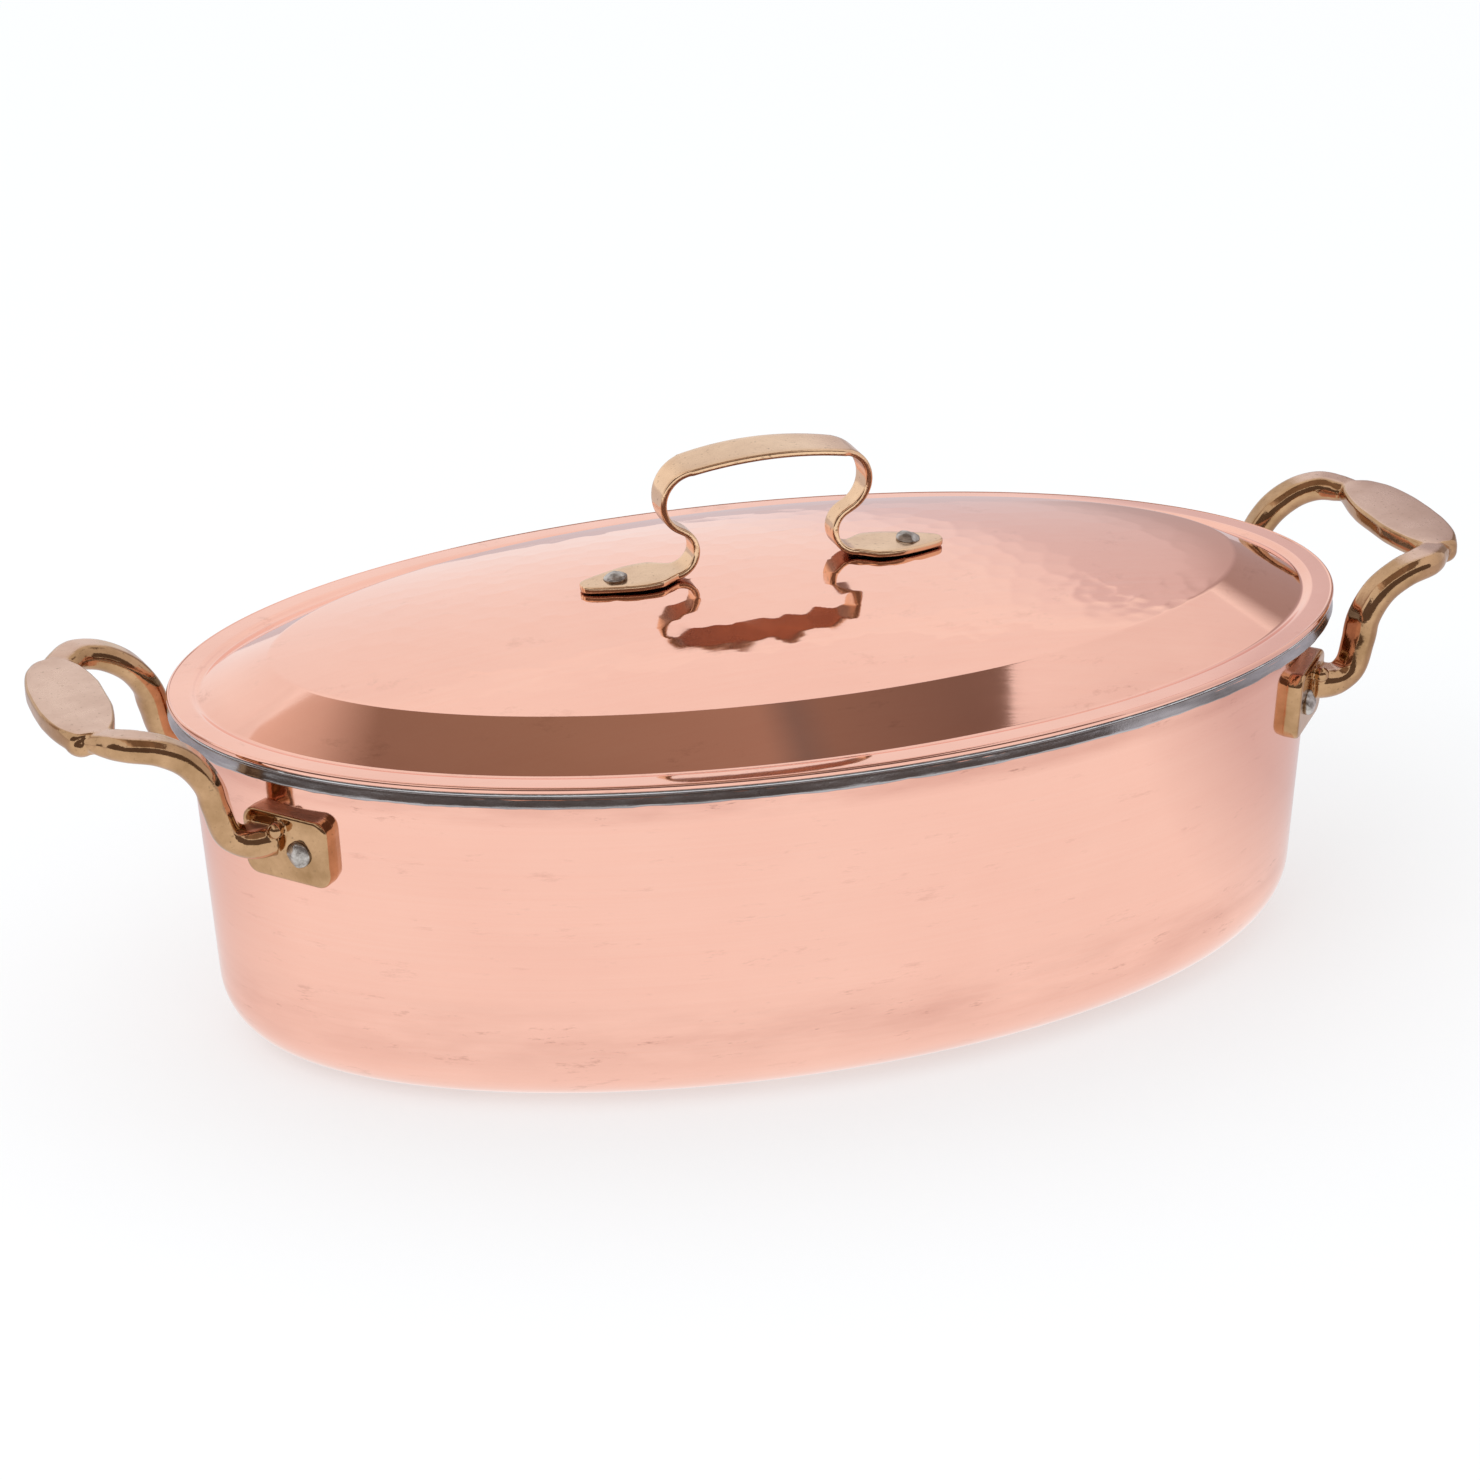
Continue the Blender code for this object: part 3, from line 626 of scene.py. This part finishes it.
def strap_line():
    """Stations on the right half of the strap: place in x and z, and half width."""
    slope = dome_slope(FOOT_RIVET_X)
    lift = SEAT_GAP + STRAP_THICKNESS / 2
    seat_x = FOOT_RIVET_X + lift * math.sin(slope)
    seat_z = dome_height(FOOT_RIVET_X) + lift * math.cos(slope)
    curl_z = seat_z + (seat_x - CURL_CENTRE_X) * math.tan(slope) + CURL_RADIUS / math.cos(slope)
    curl = (CURL_CENTRE_X, curl_z)
    apart = math.hypot(BULGE_RADIUS + CURL_RADIUS, LEG_RUN)
    bulge = (BULGE_CENTRE_X, curl[1] + math.sqrt(apart ** 2 - (CURL_CENTRE_X - BULGE_CENTRE_X) ** 2))
    reach = ARCH_RADIUS - BULGE_RADIUS
    arch = (0, bulge[1] - math.sqrt(reach ** 2 - BULGE_CENTRE_X ** 2))
    shoulder = math.acos(BULGE_CENTRE_X / reach)
    lean = math.atan2(curl[1] - bulge[1], curl[0] - bulge[0])
    leave = lean + math.atan2(LEG_RUN, BULGE_RADIUS + CURL_RADIUS)
    stations = []
    flat = math.radians(270) - slope
    for part, first, last, bow in (
            (arc(arch, ARCH_RADIUS, math.radians(90), shoulder, 16), ARCH_HALF, SHOULDER_HALF, 2.0),
            (arc(bulge, BULGE_RADIUS, shoulder, leave, 36), SHOULDER_HALF, LEG_HALF, 0.6),
            (arc(curl, CURL_RADIUS, leave + math.pi, flat, 30), LEG_HALF, CURL_HALF, 2.0)):
        count = len(part) - 1
        stations += [
            (x, z, mix(first, last, (k / count) ** bow)) for k, (x, z) in enumerate(part[:-1])]
    start_x, start_z = part[-1]
    run = FOOT_TIP_X - start_x
    for along, across in smooth_rows(FOOT_SHARES, 4):
        out = run * along
        stations.append((start_x + out, start_z - out * math.tan(slope), FOOT_HALF * across))
    return stations


def smooth_rows(rows, steps):
    """A Catmull-Rom curve through the rows, with this many steps between two rows."""
    path = []
    for row in range(len(rows) - 1):
        a = rows[max(row - 1, 0)]
        b, c = rows[row], rows[row + 1]
        d = rows[min(row + 2, len(rows) - 1)]
        for step in range(steps):
            t = step / steps
            path.append(tuple(
                (2 * q + (r - p) * t + (2 * p - 5 * q + 4 * r - s) * t ** 2
                 + (3 * q - p - 3 * r + s) * t ** 3) / 2
                for p, q, r, s in zip(a, b, c, d)))
    path.append(tuple(rows[-1]))
    return path


def strap_ring(bm, place, along, half_width):
    """A flat ring with rounded corners, square to the strap's run."""
    across = Vector((0, 1, 0))
    upward = Vector((-along.z, 0, along.x))
    flat = max(half_width - STRAP_EDGE, 0.0002)
    rise = STRAP_THICKNESS / 2 - STRAP_EDGE
    ring = []
    for side, top, first in ((1, 1, 0), (-1, 1, 90), (-1, -1, 180), (1, -1, 270)):
        for step in range(4):
            turn = math.radians(first + 30 * step)
            y = side * flat + STRAP_EDGE * math.cos(turn)
            z = top * rise + STRAP_EDGE * math.sin(turn)
            ring.append(bm.verts.new(place + across * y + upward * z))
        if side == 1 and top == 1 or side == -1 and top == -1:
            for step in range(1, 8):
                y = side * flat * (1 - step / 4)
                z = top * STRAP_THICKNESS / 2
                ring.append(bm.verts.new(place + across * y + upward * z))
    return ring


def make_strap():
    half = strap_line()
    line = [(-x, z, width) for x, z, width in reversed(half[1:])] + half
    bm = bmesh.new()
    rings = []
    for index, (x, z, width) in enumerate(line):
        x0, z0, _ = line[max(index - 1, 0)]
        x1, z1, _ = line[min(index + 1, len(line) - 1)]
        along = Vector((x1 - x0, 0, z1 - z0)).normalized()
        rings.append(strap_ring(bm, Vector((x, 0, z)), along, width))
    loft(bm, rings)
    bm.faces.new(reversed(rings[0]))
    bm.faces.new(rings[-1])
    new_piece("lid_strap_brass", bm, BRASS_STRAP, "lid", "brass", "lid_handle")


# Side handles

PAD_ANGLE = math.radians(26.0)
PAD_HEIGHT_OF_MIDDLE = 0.08116
PAD_LENGTH = 0.0290
PAD_HEIGHT = 0.0210
PAD_THICKNESS = 0.0033
PAD_CORNER = 0.0042
BAR_ROOT_FORWARD = 0.0067
BAR_ROOT_RISE = 0.0018
GRIP_WIDTH = 0.0215
GRIP_THICKNESS = 0.0068
BAR_PATH_SHARES = (
    (0.000, 0.000, 0.000),
    (0.148, -0.036, 0.006),
    (0.257, -0.026, 0.114),
    (0.307, -0.016, 0.347),
    (0.352, 0.000, 0.584),
    (0.463, 0.016, 0.808),
    (0.620, 0.026, 0.953),
    (0.774, 0.057, 1.009),
    (0.888, 0.150, 1.009),
    (0.958, 0.288, 1.003),
    (0.988, 0.482, 1.000),
    (1.000, 0.741, 1.000),
    (1.000, 1.000, 1.000),
)
# Plan of the grip's leaf from its middle to its end: the share of its half length, and how far
# its outer and inner edges have drawn in, as shares of its width
LEAF_HALF_LENGTH = 0.0295
LEAF_SHARES = (
    (0.00, 0.00, 0.00), (0.27, 0.01, 0.00), (0.41, 0.03, 0.02), (0.55, 0.06, 0.05), (0.68, 0.10, 0.09),
    (0.80, 0.15, 0.13), (0.90, 0.20, 0.16), (0.955, 0.24, 0.175), (0.985, 0.30, 0.20), (1.00, 0.42, 0.24))
LEAF_TOP_ROUND = 0.0010
LEAF_END_ROUND = 0.0028
LEAF_BASE_ROUND = 0.0030
LEAF_CROWN = 0.0003
BAR_FLAT_SHARE = 0.90
# Along the bar, by its distance from the handle's middle: its reach out, its reach in, its thickness
BAR_SIZES = (
    (0.0000, 0.0050, 0.0050, 0.0060), (0.0280, 0.0050, 0.0050, 0.0060), (0.0305, 0.0046, 0.0062, 0.0070),
    (0.0325, 0.0046, 0.0064, 0.0078), (0.0360, 0.0060, 0.0058, 0.0086), (0.0400, 0.0055, 0.0050, 0.0086),
    (0.0450, 0.0046, 0.0045, 0.0084), (0.1000, 0.0045, 0.0045, 0.0084))
HANDLE_VOXEL = 0.00040
BOSS_INSET = 0.0088
BOSS_ALONG = 0.0243
BOSS_DROP = 0.0044
BOSS_RADIUS = 0.0048
PAD_SUNK = 0.0016
PAD_EDGE = 0.0011
KNOB_PLACE = (0.0010, 0.0066, 0.0024)
KNOB_RADIUS = 0.0024


def pad_frame(end, side):
    """On the wall at a pad's middle: x along the wall, y up it, z out of it."""
    angle = math.atan2(side * math.sin(PAD_ANGLE), end * math.cos(PAD_ANGLE))
    place = outline_point(angle, wall_inset(PAD_HEIGHT_OF_MIDDLE), PAD_HEIGHT_OF_MIDDLE)
    level = outline_normal(angle)
    along = Vector((-level.y, level.x, 0))
    outward = level * math.cos(WALL_LEAN) - Vector((0, 0, math.sin(WALL_LEAN)))
    placed = Matrix((along, outward.cross(along), outward)).transposed().to_4x4()
    placed.translation = place
    return placed


def bar_path():
    """The right handle's centre line from its front pad to its back pad."""
    root = pad_frame(1, -1) @ Vector((BAR_ROOT_FORWARD, BAR_ROOT_RISE, SEAT_GAP + PAD_THICKNESS / 2))
    middle_x = GRIP_END - GRIP_WIDTH / 2
    middle_z = GRIP_TOP - GRIP_THICKNESS / 2
    front = [
        (mix(root.x, middle_x, out), mix(root.y, 0, inward), mix(root.z, middle_z, up))
        for out, inward, up in BAR_PATH_SHARES]
    return [Vector(row) for row in smooth_rows(front + [(x, -y, z) for x, y, z in reversed(front[:-1])], 6)]


def bar_sizes(place):
    """The bar's reach out, reach in and thickness at a place on its centre line."""
    away = abs(place.y)
    for low, high in zip(BAR_SIZES, BAR_SIZES[1:]):
        if away <= high[0]:
            share = (away - low[0]) / (high[0] - low[0])
            return [mix(a, b, share) for a, b in zip(low[1:], high[1:])]
    return BAR_SIZES[-1][1:]


def bar_ring(bm, place, heading, flare):
    """A nearly round ring with a narrow flat along its top."""
    across = heading.cross(Vector((0, 0, 1))).normalized()
    upward = across.cross(heading).normalized()
    reach_out, reach_in, thickness = bar_sizes(place)
    ring = []
    for step in range(32):
        turn = math.tau * step / 32
        side = math.copysign(abs(math.cos(turn)) ** 0.9, math.cos(turn))
        top = math.copysign(abs(math.sin(turn)) ** 0.9, math.sin(turn))
        top = min(top, BAR_FLAT_SHARE)
        reach = reach_out if side > 0 else reach_in
        ring.append(bm.verts.new(place + (across * side * reach + upward * top * thickness / 2) * flare))
    return ring


def add_bar(bm):
    path = bar_path()
    rings = []
    for index, place in enumerate(path):
        heading = path[min(index + 1, len(path) - 1)] - path[max(index - 1, 0)]
        from_end = min(index, len(path) - 1 - index)
        flare = 1 + 0.22 * (1 - smooth_step(2, 9, from_end))
        rings.append(bar_ring(bm, place, heading.normalized(), flare))
    loft(bm, rings)
    bm.faces.new(reversed(rings[0]))
    bm.faces.new(rings[-1])


def add_leaf(bm):
    """The flat-topped leaf of the grip, as sections across it."""
    half = smooth_rows(LEAF_SHARES, 4)
    rows = [(-along, outer, inner) for along, outer, inner in reversed(half[1:])] + half
    rings = []
    inner_edge = GRIP_END - GRIP_WIDTH
    for along, outer, inner in rows:
        high_x = GRIP_END - GRIP_WIDTH * outer
        low_x = inner_edge + GRIP_WIDTH * inner
        centre = Vector(((high_x + low_x) / 2, along * LEAF_HALF_LENGTH, GRIP_TOP))
        over = mix(LEAF_TOP_ROUND, LEAF_END_ROUND, smooth_step(0.72, 1.0, abs(along)))
        section = leaf_section((high_x - low_x) / 2, over)
        rings.append([bm.verts.new(centre + Vector((x, 0, z))) for x, z in section])
    loft(bm, rings)
    bm.faces.new(reversed(rings[0]))
    bm.faces.new(rings[-1])


def leaf_section(half_width, over):
    """A slab with a slightly crowned top, crisp upper corners and round lower ones."""
    under = LEAF_BASE_ROUND
    top = -LEAF_CROWN
    low = -GRIP_THICKNESS
    section = []
    for step in range(-4, 5):
        share = step / 4
        section.append((-share * (half_width - over), top + LEAF_CROWN * (1 - share ** 2)))
    section += arc((over - half_width, top - over), over, math.radians(105), math.radians(180), 4)
    section += arc((under - half_width, low + under), under, math.radians(180), math.radians(270), 6)
    section += arc((half_width - under, low + under), under, math.radians(270), math.radians(360), 6)
    section += arc((half_width - over, top - over), over, 0, math.radians(75), 4)
    return section


def add_pad(bm, side):
    """A plate with rounded corners and edges, whose back reaches into the wall."""
    depth = PAD_THICKNESS + PAD_SUNK
    plate = bmesh.new()
    bmesh.ops.create_cube(plate, size=1, matrix=Matrix.Diagonal((PAD_LENGTH, PAD_HEIGHT, depth, 1)))
    corners = [edge for edge in plate.edges if edge.verts[0].co.xy == edge.verts[1].co.xy]
    bmesh.ops.bevel(plate, geom=corners, offset=PAD_CORNER, segments=6, profile=0.5, affect="EDGES")
    front = [edge for edge in plate.edges if all(vert.co.z > 0 for vert in edge.verts)]
    bmesh.ops.bevel(plate, geom=front, offset=PAD_EDGE, segments=3, profile=0.5, affect="EDGES")
    lift = Matrix.Translation((0, 0, SEAT_GAP + PAD_THICKNESS - depth / 2))
    bmesh.ops.transform(plate, matrix=pad_frame(1, side) @ lift, verts=plate.verts)
    mesh = bpy.data.meshes.new("pad")
    plate.to_mesh(mesh)
    plate.free()
    bm.from_mesh(mesh)
    bpy.data.meshes.remove(mesh)


def add_boss(bm, side):
    """The rounded boss under the leaf's outer edge, where the bar turns in."""
    place = Matrix.Translation((GRIP_END - BOSS_INSET, side * BOSS_ALONG, GRIP_TOP - BOSS_DROP))
    shape = Matrix.Diagonal((1.0, 1.3, 0.86, 1))
    bmesh.ops.create_uvsphere(bm, u_segments=20, v_segments=12, radius=BOSS_RADIUS, matrix=place @ shape)


def add_knob(bm, side):
    """The small round boss at the top of the bar's root."""
    back, rise, out = KNOB_PLACE
    place = Matrix.Translation(pad_frame(1, side) @ Vector((-side * back, rise, PAD_THICKNESS + out)))
    bmesh.ops.create_uvsphere(bm, u_segments=20, v_segments=12, radius=KNOB_RADIUS, matrix=place)


def fused(bm, voxel):
    """One closed casting from the overlapping bodies, with soft fillets where they meet."""
    bmesh.ops.recalc_face_normals(bm, faces=bm.faces)
    mesh = bpy.data.meshes.new("casting")
    bm.to_mesh(mesh)
    bm.free()
    casting = bpy.data.objects.new("casting", mesh)
    bpy.context.scene.collection.objects.link(casting)
    remesh = casting.modifiers.new("Fuse", "REMESH")
    remesh.mode = "VOXEL"
    remesh.voxel_size = voxel
    soften = casting.modifiers.new("Soften", "SMOOTH")
    soften.factor = 0.5
    soften.iterations = 2
    bpy.context.view_layer.update()
    evaluated = casting.evaluated_get(bpy.context.evaluated_depsgraph_get())
    result = bmesh.new()
    result.from_mesh(evaluated.to_mesh())
    evaluated.to_mesh_clear()
    bpy.data.objects.remove(casting)
    bpy.data.meshes.remove(mesh)
    return result


def make_side_handles():
    bm = bmesh.new()
    add_bar(bm)
    add_leaf(bm)
    for side in (-1, 1):
        add_pad(bm, side)
        add_knob(bm, side)
        add_boss(bm, side)
    right = fused(bm, HANDLE_VOXEL)
    left = right.copy()
    bmesh.ops.transform(left, matrix=Matrix.Rotation(math.pi, 4, "Z"), verts=left.verts)
    for name, casting in (("right", right), ("left", left)):
        new_piece(f"side_handle_{name}_brass", casting, BRASS_CAST, "pot", "brass", f"side_handle_{name}")


# Rivets

# Radius and height of the heads
LID_HEAD = (0.0036, 0.0022)
PAD_HEAD = (0.0039, 0.0026)
INNER_HEAD = (0.0040, 0.0012)
SHANK_RADIUS = 0.0020
PAD_RIVET_FORWARD = 0.0050
PAD_RIVET_RISE = -0.0005
# A head's profile from its foot up: shares of its radius and of its height
HEAD_SHARES = (
    (1.0, 0.0), (1.0, 0.30), (0.96, 0.55), (0.86, 0.76), (0.70, 0.90), (0.45, 0.98), (0.2, 1.0))
HEAD_STEPS = 28
HEAD_FLATS = 9


def add_head(bm, frame_of_head, radius, height, seed, inward):
    """A round head with hammered flats. An inward head hangs below its frame."""
    rng = random.Random(seed)
    flats = [
        Vector((rng.uniform(-1, 1), rng.uniform(-1, 1), rng.uniform(0.9, 1.6))).normalized()
        for _ in range(HEAD_FLATS)]
    rings = []
    for share, up in HEAD_SHARES:
        ring = []
        for step in range(HEAD_STEPS):
            turn = math.tau * step / HEAD_STEPS
            place = Vector((radius * share * math.cos(turn), radius * share * math.sin(turn), height * up))
            for flat in flats:
                over = place.dot(flat) - radius * (0.50 + 0.30 * flat.z * height / radius)
                if over > 0:
                    place -= flat * over * 0.8
            place.z = max(place.z, height * up * 0.4)
            if inward:
                place.z = -place.z
            ring.append(bm.verts.new(frame_of_head @ place))
        rings.append(ring)
    loft(bm, rings)
    bm.faces.new(rings[-1])
    bm.faces.new(reversed(rings[0]))


def make_rivet(name, node, body, frame_of_rivet, head, inner_head, grip, seed):
    bm = bmesh.new()
    add_head(bm, frame_of_rivet, *head, seed, False)
    shank = Matrix.Translation((0, 0, -grip / 2))
    bmesh.ops.create_cone(
        bm, cap_ends=True, segments=24, radius1=SHANK_RADIUS, radius2=SHANK_RADIUS, depth=grip,
        matrix=frame_of_rivet @ shank)
    add_head(bm, frame_of_rivet @ Matrix.Translation((0, 0, -grip)), *inner_head, seed + 50, True)
    new_piece(name, bm, RIVETS, body, "rivet_metal", node)


def make_rivets():
    lid_grip = STRAP_THICKNESS + LID_COPPER + TIN + 2 * SEAT_GAP
    slope = dome_slope(FOOT_RIVET_X)
    lift = SEAT_GAP + STRAP_THICKNESS
    for where, side in (("left", -1), ("right", 1)):
        out = side * (FOOT_RIVET_X + lift * math.sin(slope))
        place = (out, 0, dome_height(FOOT_RIVET_X) + lift * math.cos(slope))
        placed = Matrix.Translation(place) @ Matrix.Rotation(side * slope, 4, "Y")
        make_rivet(
            f"lid_rivet_{where}_steel", f"lid_rivet_{where}", "lid", placed,
            LID_HEAD, INNER_HEAD, lid_grip + SEAT_GAP, 3 + side)
    pad_grip = PAD_THICKNESS + POT_COPPER + TIN + 4 * SEAT_GAP
    for across, end in (("left", -1), ("right", 1)):
        for depth, side in (("front", -1), ("back", 1)):
            placed = pad_frame(end, side)
            forward = end * side * PAD_RIVET_FORWARD
            placed.translation = placed @ Vector((forward, PAD_RIVET_RISE, SEAT_GAP + PAD_THICKNESS))
            make_rivet(
                f"handle_rivet_{across}_{depth}_steel", f"handle_rivet_{across}_{depth}", "pot", placed,
                PAD_HEAD, INNER_HEAD, pad_grip, 20 + 3 * end + side)


# Stage, light and camera

# How much of the floor's tone is plain white where it is seen, and how much more in reflections; the
# rest holds its shadows
FLOOR_PLAIN_SHARE = 0.5
FLOOR_PLAIN_MIRRORED = 0.45
FLOOR_RADIUS = 9.0
BACK_CARD_Y = 1.6
BACK_CARD_ENDS = (-2.5, 3.0)
BACK_CARD_TOP = 1.9
# The room's dark side in plan, and its lower and upper edges
ROOM_CORNERS = ((-2.2, 0.1), (-2.2, -2.0), (2.4, -2.0))
ROOM_HEIGHTS = (0.12, 2.0)
DARK_CARD_HEIGHT = 1.0
DARK_CARD_OUTLINE = (
    (-0.515, 0.840), (-0.400, 0.570), (-0.280, 0.400), (-0.100, 0.280), (0.120, 0.230), (0.300, 0.230),
    (0.575, 0.250), (0.458, 0.101), (0.445, -0.800), (-0.540, -0.800), (-0.540, 0.600))


def make_floor():
    bm = bmesh.new()
    bmesh.ops.create_circle(bm, cap_ends=True, radius=FLOOR_RADIUS, segments=64)
    mesh = bpy.data.meshes.new("floor")
    bm.to_mesh(mesh)
    bm.free()
    floor = bpy.data.objects.new("floor", mesh)
    bpy.context.scene.collection.objects.link(floor)
    material, nodes, links = shader_tree("floor_white")
    shader = nodes["Principled BSDF"]
    shader.inputs["Base Color"].default_value = (0.925, 0.95, 0.972, 1)
    shader.inputs["Roughness"].default_value = 0.9
    shader.inputs["Specular IOR Level"].default_value = 0.0
    plain = nodes.new("ShaderNodeEmission")
    choose = nodes.new("ShaderNodeMixShader")
    seen = seen_rays(nodes, links)
    # Painted shade in reflections: there the floor's plain white is darkened behind the pot and more to its
    # right.
    place = split_parts(nodes, links, object_place(nodes))
    right_side = math_node(nodes, links, "MAXIMUM", place["X"], 0.15)
    right_side = math_node(nodes, links, "MULTIPLY", right_side, 1.6)
    away = math_node(nodes, links, "ADD", place["Y"], right_side)
    behind = ramp(
        nodes, links, math_node(nodes, links, "ADD", away, -0.04),
        (0.16, (1.0, 1.0, 1.0)), (0.36, (0.72, 0.66, 0.68)), (0.8, (0.66, 0.62, 0.66)))
    mirrored = nodes.new("ShaderNodeLightPath").outputs["Is Glossy Ray"]
    links.new(blend_colours(nodes, links, mirrored, (1.0, 1.0, 1.0), behind), plain.inputs["Color"])
    more = math_node(nodes, links, "MULTIPLY", mirrored, FLOOR_PLAIN_MIRRORED)
    share = math_node(nodes, links, "MULTIPLY_ADD", seen, FLOOR_PLAIN_SHARE, more)
    links.new(share, choose.inputs["Fac"])
    links.new(shader.outputs["BSDF"], choose.inputs[1])
    links.new(plain.outputs["Emission"], choose.inputs[2])
    links.new(choose.outputs["Shader"], nodes["Material Output"].inputs["Surface"])
    mesh.materials.append(material)


def seen_rays(nodes, links):
    """One for rays from the camera and for mirrored or refracted ones, and zero for the rest."""
    path = nodes.new("ShaderNodeLightPath")
    mirrored = math_node(nodes, links, "ADD", path.outputs["Is Camera Ray"], path.outputs["Is Glossy Ray"])
    every = math_node(nodes, links, "ADD", mirrored, path.outputs["Is Transmission Ray"])
    return math_node(nodes, links, "MINIMUM", every, 1.0)


def glow_card(name, bm):
    """A card seen only in reflections: its nodes, its links and the socket of its colour."""
    mesh = bpy.data.meshes.new(name)
    bm.to_mesh(mesh)
    bm.free()
    card = bpy.data.objects.new(name, mesh)
    bpy.context.scene.collection.objects.link(card)
    material, nodes, links = shader_tree(f"{name}_glow")
    nodes.clear()
    output = nodes.new("ShaderNodeOutputMaterial")
    glow = nodes.new("ShaderNodeEmission")
    links.new(glow.outputs["Emission"], output.inputs["Surface"])
    mesh.materials.append(material)
    card.visible_camera = False
    card.visible_diffuse = False
    card.visible_shadow = False
    card.visible_transmission = False
    return nodes, links, glow.inputs["Color"]


def make_back_card():
    """A bright card behind the table: darker at its far left, to the right, and white at its top."""
    left, right = BACK_CARD_ENDS
    outline = ((left, 0.0), (right, 0.0), (right, BACK_CARD_TOP), (left, BACK_CARD_TOP))
    bm = bmesh.new()
    bm.faces.new([bm.verts.new((x, BACK_CARD_Y, z)) for x, z in outline])
    nodes, links, colour = glow_card("back_card", bm)
    place = split_parts(nodes, links, object_place(nodes))
    lean = math_node(nodes, links, "MULTIPLY", place["Z"], 0.43)
    slant = math_node(nodes, links, "SUBTRACT", place["X"], lean)
    tone = ramp(
        nodes, links, math_node(nodes, links, "MULTIPLY_ADD", slant, 0.25, 0.5),
        (0.02, (0.48, 0.38, 0.35)), (0.15, (0.94, 0.92, 0.92)), (0.60, (0.97, 0.97, 0.98)),
        (0.628, (0.90, 0.87, 0.90)), (0.645, (0.76, 0.71, 0.75)), (0.685, (0.74, 0.69, 0.72)),
        (0.705, (0.54, 0.48, 0.49)), (0.80, (0.44, 0.38, 0.39)), (0.90, (0.39, 0.33, 0.32)))
    half_height = math_node(nodes, links, "MULTIPLY", place["Z"], 0.5)
    high = ramp(nodes, links, half_height, (0.74, 0.0), (0.94, 1.0))
    links.new(blend_colours(nodes, links, high, tone, (1.0, 1.0, 1.0)), colour)


def make_front_card():
    """The dark side of the room round the camera, from the left to the right."""
    bm = bmesh.new()
    rings = [[bm.verts.new((x, y, z)) for x, y in ROOM_CORNERS] for z in ROOM_HEIGHTS]
    loft(bm, rings, closed=False)
    _, _, colour = glow_card("front_card", bm)
    colour.default_value = (0.16, 0.12, 0.105, 1)


def make_dark_card():
    """A dark card over the table."""
    bm = bmesh.new()
    bm.faces.new([bm.verts.new((x, y, DARK_CARD_HEIGHT)) for x, y in DARK_CARD_OUTLINE])
    nodes, links, colour = glow_card("dark_card", bm)
    from_left = math_node(nodes, links, "ADD", split_parts(nodes, links, object_place(nodes))["X"], 0.5)
    tone = ramp(
        nodes, links, from_left,
        (0.0, (0.80, 0.66, 0.58)), (0.10, (0.62, 0.50, 0.43)), (0.20, (0.28, 0.20, 0.155)),
        (0.45, (0.31, 0.22, 0.165)), (0.69, (0.37, 0.26, 0.205)), (0.73, (0.22, 0.175, 0.155)),
        (0.77, (0.27, 0.19, 0.15)), (0.95, (0.21, 0.15, 0.125)))
    links.new(tone, colour)


def make_world():
    """White all round, a little darker to the right in reflections."""
    world = bpy.data.worlds.new("studio")
    bpy.context.scene.world = world
    world.use_nodes = True
    nodes, links = world.node_tree.nodes, world.node_tree.links
    nodes.clear()
    output = nodes.new("ShaderNodeOutputWorld")
    plain = nodes.new("ShaderNodeBackground")
    mirrored = nodes.new("ShaderNodeBackground")
    plain.inputs["Color"].default_value = (1, 1, 1, 1)
    choose = nodes.new("ShaderNodeMixShader")
    path = nodes.new("ShaderNodeLightPath")
    direction = split_parts(nodes, links, nodes.new("ShaderNodeTexCoord").outputs["Generated"])
    tone = ramp(
        nodes, links, math_node(nodes, links, "MULTIPLY_ADD", direction["X"], 0.5, 0.5),
        (0.0, (0.96, 0.95, 0.97)), (0.45, (1.0, 1.0, 1.0)), (0.72, (0.96, 0.94, 0.95)), (1.0, (0.74, 0.70, 0.72)))
    links.new(tone, mirrored.inputs["Color"])
    links.new(path.outputs["Is Glossy Ray"], choose.inputs["Fac"])
    links.new(plain.outputs["Background"], choose.inputs[1])
    links.new(mirrored.outputs["Background"], choose.inputs[2])
    links.new(choose.outputs["Shader"], output.inputs["Surface"])


def add_area(name, place, size, power, target=(0, 0, 0.06)):
    lamp = bpy.data.lights.new(name, "AREA")
    lamp.shape = "RECTANGLE"
    lamp.size, lamp.size_y = size
    lamp.energy = power
    light = bpy.data.objects.new(name, lamp)
    light.location = place
    light.rotation_mode = "QUATERNION"
    light.rotation_quaternion = (Vector(place) - Vector(target)).to_track_quat("Z", "Y")
    light.visible_glossy = False
    bpy.context.scene.collection.objects.link(light)


def make_camera():
    azimuth, elevation, roll = -0.3328, 0.4049, -0.0117
    distance, target = 1.43399, Vector((-0.00785, 0, 0.0734))
    back = Vector((
        math.sin(azimuth) * math.cos(elevation), -math.cos(azimuth) * math.cos(elevation), math.sin(elevation)))
    right = Vector((math.cos(azimuth), math.sin(azimuth), 0))
    upward = back.cross(right)
    x_axis = right * math.cos(roll) + upward * math.sin(roll)
    y_axis = upward * math.cos(roll) - right * math.sin(roll)
    placed = Matrix((x_axis, y_axis, back)).transposed().to_4x4()
    placed.translation = target + back * distance
    lens = bpy.data.cameras.new("camera")
    lens.sensor_width = 36.0
    lens.lens = 116.275
    camera = bpy.data.objects.new("camera", lens)
    camera.matrix_world = placed
    bpy.context.scene.collection.objects.link(camera)
    bpy.context.scene.camera = camera


make_pot_copper()
make_pot_tin()
make_lid_copper()
make_lid_tin()
make_strap()
make_side_handles()
make_rivets()
make_floor()
make_back_card()
make_front_card()
make_dark_card()
make_world()
add_area("soft_left", (-1.2, -0.9, 1.5), (1.2, 1.2), 8)
make_camera()
bpy.context.scene.view_settings.view_transform = "Standard"
